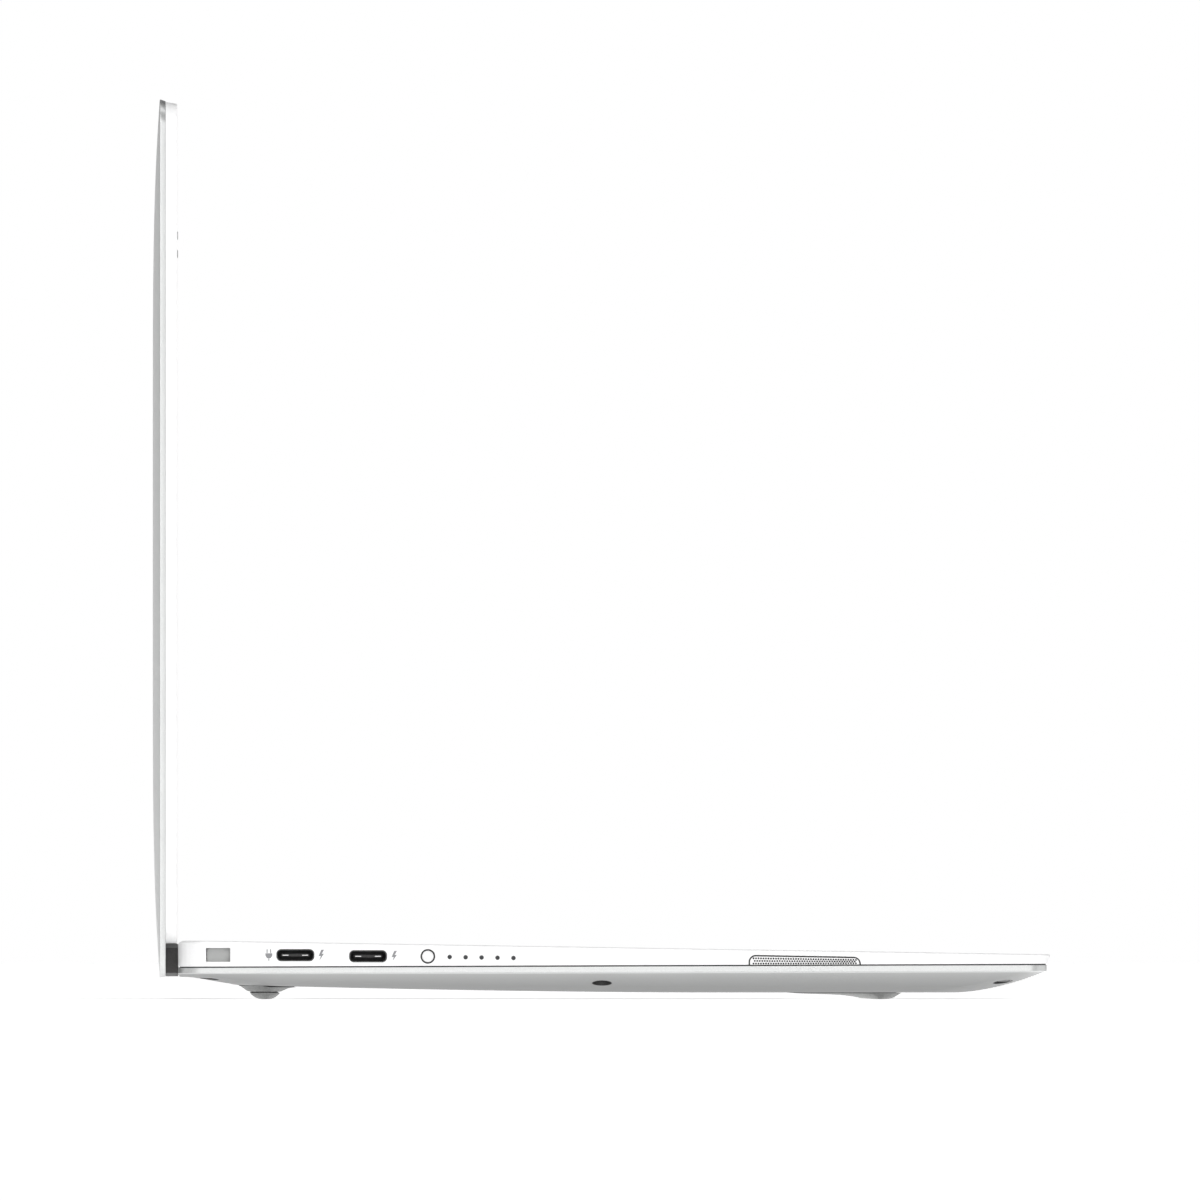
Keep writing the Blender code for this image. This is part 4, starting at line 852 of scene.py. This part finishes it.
# ---------------------------------------------------------------- keys, touchpad and their marks
def cap_shape(cell, radius=0.9):
    """Key cap with a rounded rim and a slightly dished top, as wide as its cell leaves."""
    depth = min(cell[1] - cell[0], cell[3] - cell[2]) - KEY_GAP
    rings = []
    for margin, height in ((0.0, WEB_BOTTOM), (0.0, -0.75), (0.12, -0.35), (0.2, -0.18), (0.32, -0.11),
                           (0.5, KEY_TOP),
                           (0.9, -0.12), (0.25 * depth, -0.19), (0.42 * depth, -0.21)):
        outline = rounded(*shrink(cell, KEY_GAP / 2 + margin), max(radius - 0.5 * margin, 0.3), 5)
        rings.append([(x, s, height) for x, s in outline])
    return loft(rings)


def text_mesh(body, size):
    """Outline text, centred, as (vertices, faces) with a little thickness."""
    curve = bpy.data.curves.new("legend", 'FONT')
    curve.body = body
    curve.size = size
    curve.align_x = 'CENTER'
    curve.align_y = 'CENTER'
    curve.extrude = 0.006
    curve.resolution_u = 4
    holder = bpy.data.objects.new("legend", curve)
    bpy.context.scene.collection.objects.link(holder)
    mesh = bpy.data.meshes.new_from_object(holder.evaluated_get(bpy.context.evaluated_depsgraph_get()))
    verts = [tuple(vertex.co) for vertex in mesh.vertices]
    faces = [tuple(polygon.vertices) for polygon in mesh.polygons]
    bpy.data.objects.remove(holder)
    bpy.data.meshes.remove(mesh)
    return verts, faces


def moved(shape, x, s, z):
    verts, faces = shape
    return [(vx + x, vs + s, vz + z) for vx, vs, vz in verts], faces


def make_keys():
    for number, (cells, names) in enumerate(zip(key_rows(), LEGENDS), start=1):
        body = f"key_row_{number}"
        marks = []
        for index, (cell, name) in enumerate(zip(cells, names), start=1):
            replaced = [body] if index == 1 else ()
            piece(f"key_{number}_{index:02d}", [cap_shape(cell)], KEY_WHITE, body, replaced,
                  on_deck)
            if name:
                size = 4.2 if len(name) == 1 else 2.5
                middle = (cell[0] + cell[1]) / 2, (cell[2] + cell[3]) / 2
                marks.append(moved(text_mesh(name, size), *middle, -0.204))
        piece(f"key_marks_{number}", marks, LEGEND, body, (), on_deck)


def ring_mark(x, s, z, radius, width, gap):
    """Open ring with a bar, the usual sign for power."""
    outline = []
    for r, order in ((radius, 1), (radius - width, -1)):
        angles = [gap + (2 * pi - 2 * gap) * i / 28 for i in range(29)][::order]
        outline += [(x + r * sin(a), s + r * cos(a)) for a in angles]
    bar = [(x - width / 2, s + 0.1), (x + width / 2, s + 0.1), (x + width / 2, s + radius + 0.2),
           (x - width / 2, s + radius + 0.2)]
    return [prism_z(outline, z, z + 0.01), prism_z(bar, z, z + 0.01)]


def make_controls():
    cell = power_cell()
    piece("power_key", [cap_shape(cell)], SILVER, "power_button", ["power_button"],
          on_deck)
    middle = (cell[0] + cell[1]) / 2, (cell[2] + cell[3]) / 2
    piece("power_mark", ring_mark(*middle, -0.212, 1.3, 0.28, 0.5), LEGEND, "power_button",
          (), on_deck)

    rings = []
    for gap, height in ((0.2, -2.2), (0.2, -0.3), (0.26, -0.19), (0.4, -0.15)):
        outline = rounded(-PAD_HALF + gap, PAD_HALF - gap, PAD_FRONT + gap, PAD_REAR - gap, 1.6 - gap, 6)
        rings.append([(x, s, height) for x, s in outline])
    module = rounded(-PAD_HALF - 1.5, PAD_HALF + 1.5, PAD_FRONT - 1.5, PAD_REAR + 1.5, 1.0, 3)
    piece("touchpad_plate", [loft(rings)], PAD_WHITE, "touchpad", ["touchpad"], on_deck)
    piece("touchpad_board", [prism_z(module, -2.8, -2.25)], BOARD, "touchpad", (), on_deck)

    face = -wall_x(BUTTON_S, BUTTON_Z)
    profile = ((BUTTON_R - 0.25, face + 0.03), (BUTTON_R - 0.06, face + 0.09), (BUTTON_R, face + 0.22),
               (BUTTON_R, -148.6))
    # A black ring in the gap round the battery key paints the shade of that gap.
    ring = [turned_x(BUTTON_S, BUTTON_Z, ((BUTTON_HOLE_R - 0.01, face + 0.09),
                                          (BUTTON_HOLE_R - 0.01, face + 1.3)), 48)]
    ring = new_object("battery_key_shade_ring", ring)
    combine(ring, [turned_x(BUTTON_S, BUTTON_Z, ((BUTTON_R + 0.03, face - 1.0),
                                                 (BUTTON_R + 0.03, face + 3.0)), 48)])
    finish_piece(ring, BLACK, "base")
    head = box(-149.0, -148.3, BUTTON_S - 2.2, BUTTON_S + 2.2, 7.9, 10.4)
    piece("battery_key", [turned_x(BUTTON_S, BUTTON_Z, profile, 48), head], BUTTON_WHITE, "battery_button",
          ["battery_button"])


# ---------------------------------------------------------------- ports and side fittings
def make_ports():
    front = HALF_WIDTH - 0.75
    back = front - SHELL_LENGTH
    for name, (side, s, z) in PORTS.items():
        shell = []
        for grow, x in ((0.0, back), (0.0, front - 0.1), (-0.1, front)):
            outline = port_outline(s, z, SHELL_WIDTH + 2 * grow, SHELL_HEIGHT + 2 * grow)
            shell.append([(side * x, ps, pz) for ps, pz in outline])
        shell = new_object(f"port_shell_{name}", [loft(shell)])
        inner = port_outline(s, z, MOUTH_WIDTH - 0.3, MOUTH_HEIGHT - 0.3)
        combine(shell, [prism_x(inner, side * (front + 1.0), side * (back + 0.4))])
        finish_piece(shell, DARK_STEEL, "base", [f"usb_c_shell_{name}"])
        tongue = []
        for x, width, height in ((front - 0.95, 6.3, 0.5), (front - 1.1, 6.6, 0.66), (front - 4.6, 6.69, 0.7),
                                 (front - 4.7, 7.8, 2.0), (back + 0.6, 7.8, 2.0)):
            outline = centred(s, z, width, height, 0.2, 3)
            tongue.append([(side * x, ps, pz) for ps, pz in outline])
        piece(f"port_tongue_{name}", [loft(tongue)], BLACK, "base",
              [f"usb_c_tongue_{name}"])
        pads = []
        for row in (-1, 1):
            for i in range(12):
                ps = s + (i - 5.5) * 0.5
                middle = z + row * 0.36
                pads.append(side_box(side, front - 1.25, front - 4.2, ps - 0.13, ps + 0.13, middle - 0.02,
                                     middle + 0.02))
        piece(f"port_contacts_{name}", pads, DARK_STEEL, "base")
        glints = []
        for middle in (s - 2.2, s + 2.2):
            glints.append(side_box(side, front - 0.9, front - 1.3, middle - 0.66, middle + 0.66, z - 0.07,
                                   z + 0.07))
        piece(f"port_clips_{name}", glints, BRIGHT_STEEL, "base")


def side_mark(name, outlines, side):
    """Marks printed on a side wall, from outlines of (s, z)."""
    shapes = []
    for outline in outlines:
        verts = []
        for depth in (-0.2, 0.03):
            verts.append([(side * (wall_x(s, z) + depth), s, z) for s, z in outline])
        shapes.append(loft(verts))
    piece(name, shapes, MARK, "base")


def bar(s0, s1, z0, z1):
    return [(s0, z0), (s1, z0), (s1, z1), (s0, z1)]


def power_sign(s, z):
    """Generic power flash, upright."""
    bolt = ((0.62, 1.2), (0.02, 1.2), (-0.58, -0.2), (-0.08, -0.2), (-0.46, -1.25), (0.58, 0.3),
            (0.12, 0.3))
    return [[(s - forward, z + up) for forward, up in bolt]]


def plug_sign(s, z):
    """Generic mains plug: two pins, a body and a lead, upright."""
    body = [(s - 0.75, z + 0.35), (s - 0.75, z - 0.2), (s - 0.35, z - 0.75), (s + 0.35, z - 0.75),
            (s + 0.75, z - 0.2), (s + 0.75, z + 0.35)]
    return [body, bar(s - 0.5, s - 0.28, z + 0.45, z + 1.25), bar(s + 0.28, s + 0.5, z + 0.45, z + 1.25),
            bar(s - 0.11, s + 0.11, z - 1.3, z - 0.8)]


def make_side_fittings():
    inner = HALF_WIDTH - DECK_WALL - 0.2
    jack = [turned_x(JACK_S, JACK_Z, ((2.25, 139.2), (2.25, 149.0), (2.15, 149.1)), 48)]
    jack = new_object("audio_jack", jack)
    combine(jack, [prism_x(circle(JACK_S, JACK_Z, JACK_HOLE_R, 48), HALF_WIDTH, 140.2)])
    finish_piece(jack, BLACK, "base", ["headphone_jack"])

    card = prism_x(centred(CARD_S, CARD_Z, 13.8, 2.4, 0.3, 3), inner, inner - 8.6)
    card = new_object("card_socket", [card])
    opening = centred(CARD_S, CARD_Z, 11.2, 1.0, 0.2, 3)
    combine(card, [prism_x(opening, inner + 1.0, inner - 8.0)])
    finish_piece(card, STEEL, "base", ["card_slot"])

    lock = rounded(LOCK_S - 3.3, LOCK_S + 2.5, LOCK_Z - 2.1, LOCK_Z + 2.1, 0.6, 4)
    lock = new_object("lock_plate", [prism_x(lock, -inner, -(inner - 1.0))])
    finish_piece(lock, LOCK_GREY, "base", ["lock_slot_plate"])

    lamps = []
    for i in range(LAMP_COUNT):
        s = LAMP_FIRST_S - i * LAMP_PITCH
        z = deck_z(s) - LAMP_BELOW_DECK
        face = -wall_x(s, z)
        profile = ((LAMP_R * 0.7, face + 0.05), (LAMP_R, face + 0.12), (LAMP_R, -(inner - 0.3)))
        lamps.append(turned_x(s, z, profile, 24))
    piece("battery_lamps", lamps, LAMP, "base")

    side_mark("plug_mark", plug_sign(175.25, 10.0), -1)
    side_mark("port_mark_rear", power_sign(163.5, 9.95), -1)
    side_mark("port_mark_front", power_sign(147.15, 9.7), -1)
    side_mark("port_mark_right", power_sign(172.0, 10.0), 1)


def make_grilles():
    for side, name in ((-1, "left"), (1, "right")):
        outline = grille_outline(GRILLE_GAP)
        rings = []
        for depth in (0.34, 0.04):
            rings.append([(side * (wall_x(s, z) - depth), s, z) for s, z in outline])
        grille = new_object(f"grille_{name}", [loft(rings)])
        holes = []
        for row in range(3):
            count = 42 - (row % 2)
            for i in range(count):
                s = (GRILLE_FRONT + GRILLE_REAR) / 2 + (i - (count - 1) / 2) * HOLE_PITCH
                share = (s - GRILLE_FRONT) / (GRILLE_REAR - GRILLE_FRONT)
                top = GRILLE_FRONT_TOP - 0.75 + (GRILLE_REAR_TOP - GRILLE_FRONT_TOP) * share
                low = seam_z(s) + 0.4
                z = low + (top - low) * row / 2
                holes.append(prism_x(circle(s, z, HOLE_R, 10), side * (HALF_WIDTH + 1.0),
                                     side * (HALF_WIDTH - 3.0)))
        combine(grille, holes)
        finish_piece(grille, GRILLE_WHITE, "base", [f"speaker_grille_{name}"])
        rings = []
        for depth in (1.58, 0.16):
            rings.append([(side * (wall_x(s, z) - depth), s, z) for s, z in grille_outline(0.01)])
        gasket = new_object(f"grille_gasket_{name}", [loft(rings)])
        recess = prism_x(grille_outline(GRILLE_GAP - 0.03), side * (HALF_WIDTH + 1.0),
                         side * (HALF_WIDTH - 0.62))
        combine(gasket, [recess])
        finish_piece(gasket, BLACK, "base")


# ---------------------------------------------------------------- hinge line
def make_hinge_line():
    outline = [(NOTCH_S + 0.3, AXIS_Z - 3.0)]
    for i in range(33):
        angle = (i / 32 - 0.5) * pi
        outline.append((AXIS_S + VENT_RADIUS * cos(angle), AXIS_Z + VENT_RADIUS * sin(angle)))
    outline.append((NOTCH_S + 0.3, AXIS_Z + 3.0))
    strip = new_object("vent_strip", [prism_x(outline, -VENT_HALF, VENT_HALF)])
    slots = []
    for i in range(VENT_COUNT):
        x = (i - (VENT_COUNT - 1) / 2) * VENT_PITCH
        slots.append(prism_s(rounded(x - 1.8, x + 1.8, AXIS_Z - 1.3, AXIS_Z + 1.1, 0.6, 4), AXIS_S + 1.2,
                             AXIS_S + 5.0))
    combine(strip, slots)
    finish_piece(strip, DARK, "base", ["rear_vent_strip"])

    front, back = BAR_FRONT, COVER_FACE - 0.02
    outline = [(back, BAR_BOTTOM), (back, BAR_TOP), (front + 0.5, BAR_TOP), (front + 0.1, 12.4),
               (front, 12.1), (front, 6.1), (front + 0.1, 6.0), (front + 0.1, 5.3), (front + 0.2, BAR_BOTTOM)]
    hinge_bar = new_object("hinge_cover", [prism_x(outline, -BAR_HALF, BAR_HALF)])
    pockets = []
    for side in (-1, 1):
        pockets.append(side_box(side, LEAF_INNER, LEAF_OUTER, BAR_FRONT - 1.0, 197.6, 8.2, 14.0))
    combine(hinge_bar, pockets)
    finish_piece(hinge_bar, DARK, "lid", ["hinge_bar"])
    bar_ends = ((-BAR_HALF - 0.02, 1.0 - BAR_HALF), (BAR_HALF - 1.0, BAR_HALF + 0.02))
    lip = [(back, 11.6), (back, 12.6), (front + 0.5, 12.6), (front + 0.12, 12.42), (front + 0.01, 12.1),
           (front + 0.01, 11.6)]
    piece("hinge_lip", [prism_x(lip, x0, x1) for x0, x1 in bar_ends], LIP_GREY, "lid")
    trim = [(back, 5.18), (back, 5.95), (front + 0.02, 5.95), (front + 0.02, 5.3), (front + 0.14, 5.18)]
    piece("hinge_trim", [prism_x(trim, x0, x1) for x0, x1 in bar_ends], TRIM_GREY, "lid")


# ---------------------------------------------------------------- lid
def upright_ring(half, bottom, top, radius, s, steps=14):
    return [(x, s, z) for x, z in mirrored_plan(bottom, top, half, radius, (), steps)]


def make_lid():
    half = HALF_WIDTH
    edge = ((0.46, 0.25, 0.46, COVER_FACE), (0.38, 0.14, 0.38, COVER_FACE + 0.08),
            (0.02, 0.02, 0.02, COVER_EDGE - 0.22), (0.0, 0.0, 0.0, COVER_EDGE - 0.12))
    rings = [upright_ring(half - side, LID_BOTTOM + low, LID_TOP - high, CORNER_RADIUS, s)
             for side, low, high, s in edge]
    for inset in CROWN_INSETS:
        s = COVER_EDGE + CROWN * (1.0 - (1.0 - inset / CROWN_WIDTH) ** CROWN_POWER)
        if inset < 0.1:
            s = COVER_EDGE - 0.04
        rings.append(upright_ring(half - inset, LID_BOTTOM + inset, LID_TOP - inset,
                                  CORNER_RADIUS + 0.25 * inset, s))
    cover = new_object("lid_shell", [loft(rings)])
    combine(cover, [prism_s(rounded(-147.8, 147.8, 14.2, 199.2, 0.8, 3), COVER_FACE - 1.0, 199.2)])
    finish_piece(cover, SILVER, "lid", ["lid_cover"])

    half = HALF_WIDTH - 0.6
    edge = ((0.0, 0.0, 0.0, 0.5, COVER_FACE - 0.02), (0.25, 0.0, 0.35, 0.6, BEZEL_FRONT + 0.3),
            (0.33, 0.05, 0.43, 0.65, BEZEL_FRONT + 0.12), (0.45, 0.12, 0.55, 0.7, BEZEL_FRONT + 0.03),
            (0.6, 0.2, 0.7, 0.8, BEZEL_FRONT))
    rings = [upright_ring(half - side, BEZEL_BOTTOM + low, BEZEL_TOP - high, CORNER_RADIUS - tighter, s)
             for side, low, high, tighter, s in edge]
    bezel = new_object("bezel_frame", [loft(rings)])
    hollow = rounded(-148.6, 148.6, BEZEL_BOTTOM + 0.8, BEZEL_TOP - 1.9, 3.4, 4)
    combine(bezel, [prism_s(hollow, BEZEL_FRONT + 0.55, BEZEL_BACK + 1.0)])
    slits = []
    for side in (-1, 1):
        slits.append(side_box(side, LEAF_INNER + 0.2, LEAF_OUTER - 0.2, 196.3, 197.5, BEZEL_BOTTOM - 1.0,
                              BEZEL_BOTTOM + 1.5))
    combine(bezel, slits)
    window = []
    for grow, s in ((0.3, -1.0), (0.3, 0.0), (0.0, 0.3), (0.0, 1.0)):
        outline = rounded(-SCREEN_HALF - grow, SCREEN_HALF + grow, SCREEN_BOTTOM - grow, SCREEN_TOP + grow,
                          0.4 + grow, 3)
        window.append([(x, BEZEL_FRONT + s, z) for x, z in outline])
    eye = prism_s(circle(0.0, WEBCAM_Z, WEBCAM_HOLE_R, 40), BEZEL_FRONT - 1.0, BEZEL_FRONT + 1.0)
    combine(bezel, [loft(window), eye])
    seats = []
    for side in (-1, 1):
        seats.append(side_box(side, BUMPER_INNER - 0.1, BUMPER_OUTER + 0.1, BEZEL_FRONT - 1.0,
                              BEZEL_FRONT + 0.35, BUMPER_BOTTOM - 0.2, BUMPER_TOP + 0.2))
    combine(bezel, seats)
    finish_piece(bezel, WHITE, "lid", ["bezel"])

    for side, name in ((-1, "left"), (1, "right")):
        x0, x1 = sorted((side * BUMPER_INNER, side * BUMPER_OUTER))
        rings = []
        for margin, s in ((0.0, 0.2), (0.0, -0.1), (0.08, -0.17), (0.2, -0.2)):
            outline = rounded(x0 + margin, x1 - margin, BUMPER_BOTTOM + margin, BUMPER_TOP - margin,
                              0.45 - margin, 4)
            rings.append([(x, BEZEL_FRONT + s, z) for x, z in outline])
        piece(f"bumper_{name}", [loft(rings)], RUBBER, "lid", [f"lid_bumper_{name}"])

    lens = []
    for radius, s in ((0.5, 0.34), (0.62, 0.2), (1.1, 0.16), (WEBCAM_RADIUS, 0.15), (WEBCAM_RADIUS, 1.0)):
        lens.append([(x, BEZEL_FRONT + s, z) for x, z in circle(0.0, WEBCAM_Z, radius, 40)])
    board = prism_s(rounded(-12.0, 12.0, WEBCAM_Z - 3.0, WEBCAM_Z + 3.0, 0.5, 3), BEZEL_FRONT + 1.05, 197.6)
    piece("webcam_lens", [loft(lens)], LENS, "lid", ["webcam"])
    piece("webcam_board", [board], BOARD, "lid")


# ---------------------------------------------------------------- CAD nodes that stay, with finer finishes
def dress_nodes():
    finishes = {"screen_glass": SCREEN, "display_panel": PANEL, "steel": STEEL, "screw_steel": SCREW_STEEL,
                "black_plastic": BLACK, "battery_film": FILM, "circuit_board": BOARD, "copper": COPPER,
                "lamp_plastic": LAMP, "silver_aluminium": SILVER, "white_deck": WHITE,
                "key_white": KEY_WHITE, "touchpad_glass": PAD_WHITE, "dark_hinge": DARK,
                "foot_rubber": RUBBER,
                "grille_white": GRILLE_WHITE, "lens_black": LENS}
    slots = {part["node"]: part["material_slot"] for part in frame["record"]["subparts"]}
    for name, node in frame["nodes"].items():
        node.data.materials.clear()
        node.data.materials.append(finishes[slots[name]])


# ---------------------------------------------------------------- floor, light and camera
def make_stage():
    floor = new_object("floor", [box(-FLOOR_HALF, FLOOR_HALF, -FLOOR_HALF, FLOOR_HALF, -20.0, 0.0)])
    finish = Finish("floor_white", 0.6)
    cloud = finish.noise(900.0, 1.0)
    finish.colour(cloud, ((0.3, grey(0.87)), (0.7, grey(0.89))))
    finish.set("Specular IOR Level", 0.1)
    finish.set("Emission Color", (1.0, 1.0, 1.0, 1.0))
    finish.set("Emission Strength", FLOOR_GLOW)
    floor.data.materials.append(finish.material)


def area_light(name, place, target, size, power):
    light = bpy.data.lights.new(name, 'AREA')
    light.shape = 'SQUARE'
    light.size = size
    light.energy = power
    holder = bpy.data.objects.new(name, light)
    bpy.context.scene.collection.objects.link(holder)
    holder.location = place
    holder.rotation_euler = (Vector(target) - Vector(place)).to_track_quat('-Z', 'Y').to_euler()
    holder.visible_camera = False
    return holder


def make_light():
    """A white surround that is darker behind the lid, with one soft light above."""
    world = bpy.data.worlds.new("studio")
    bpy.context.scene.world = world
    world.use_nodes = True
    world.node_tree.nodes.clear()
    nodes = Nodes(world.node_tree)
    math = nodes.math

    x, y, z = nodes.split(nodes.node("ShaderNodeTexCoord").outputs["Generated"])
    turn = math('ARCTAN2', z, x)
    brightest = math('MAXIMUM', nodes.ranged(turn, *GAP_FAR, 1.0, GAP_LIGHT),
                     nodes.ranged(turn, *GAP_NEAR, 0.0, 1.0))
    heading = nodes.ranged(math('ARCTAN2', y, math('MULTIPLY', x, -1.0)), -pi, pi, 0.0, 1.0, 'LINEAR')
    stops = [(degrees / 360.0 + 0.5, grey(level)) for degrees, level in SURROUND]
    level = math('MULTIPLY', math('MULTIPLY', nodes.ramp(heading, stops, 'EASE'), brightest), WORLD_STRENGTH)
    lighting, seen = nodes.node("ShaderNodeBackground"), nodes.node("ShaderNodeBackground")
    mix = nodes.node("ShaderNodeMixShader")
    nodes.link(level, lighting.inputs["Strength"])
    nodes.link(nodes.node("ShaderNodeLightPath").outputs["Is Camera Ray"], mix.inputs["Fac"])
    for background, socket in ((lighting, mix.inputs[1]), (seen, mix.inputs[2])):
        background.inputs["Color"].default_value = (1.0, 1.0, 1.0, 1.0)
        nodes.link(background.outputs["Background"], socket)
    nodes.link(mix.outputs["Shader"], nodes.node("ShaderNodeOutputWorld").inputs["Surface"])
    area_light("top_softbox", (-0.6, -0.9, 2.4), (0.0, 0.0, 0.05), 1.8, SOFTBOX_POWER)


def make_camera():
    """Long lens, level with the deck, square to the left side."""
    lens = bpy.data.cameras.new("camera")
    lens.lens = 1500.0
    lens.sensor_width = 36.0
    lens.clip_start = 0.5
    lens.clip_end = 200.0
    camera = bpy.data.objects.new("camera", lens)
    bpy.context.scene.collection.objects.link(camera)
    target = at(-HALF_WIDTH, 101.0, 89.57)
    camera.location = at(-HALF_WIDTH - 11210.0, 195.8, 12.5)
    camera.rotation_euler = (target - camera.location).to_track_quat('-Z', 'Y').to_euler()
    bpy.context.scene.camera = camera


dress_nodes()
make_bottom_cover()
make_screw_painted_shade()
make_screws()
make_feet()
make_deck()
make_seam_gasket()
make_keys()
make_controls()
make_ports()
make_side_fittings()
make_grilles()
make_hinge_line()
make_lid()
make_stage()
make_light()
make_camera()
bpy.context.scene.view_settings.view_transform = 'Standard'
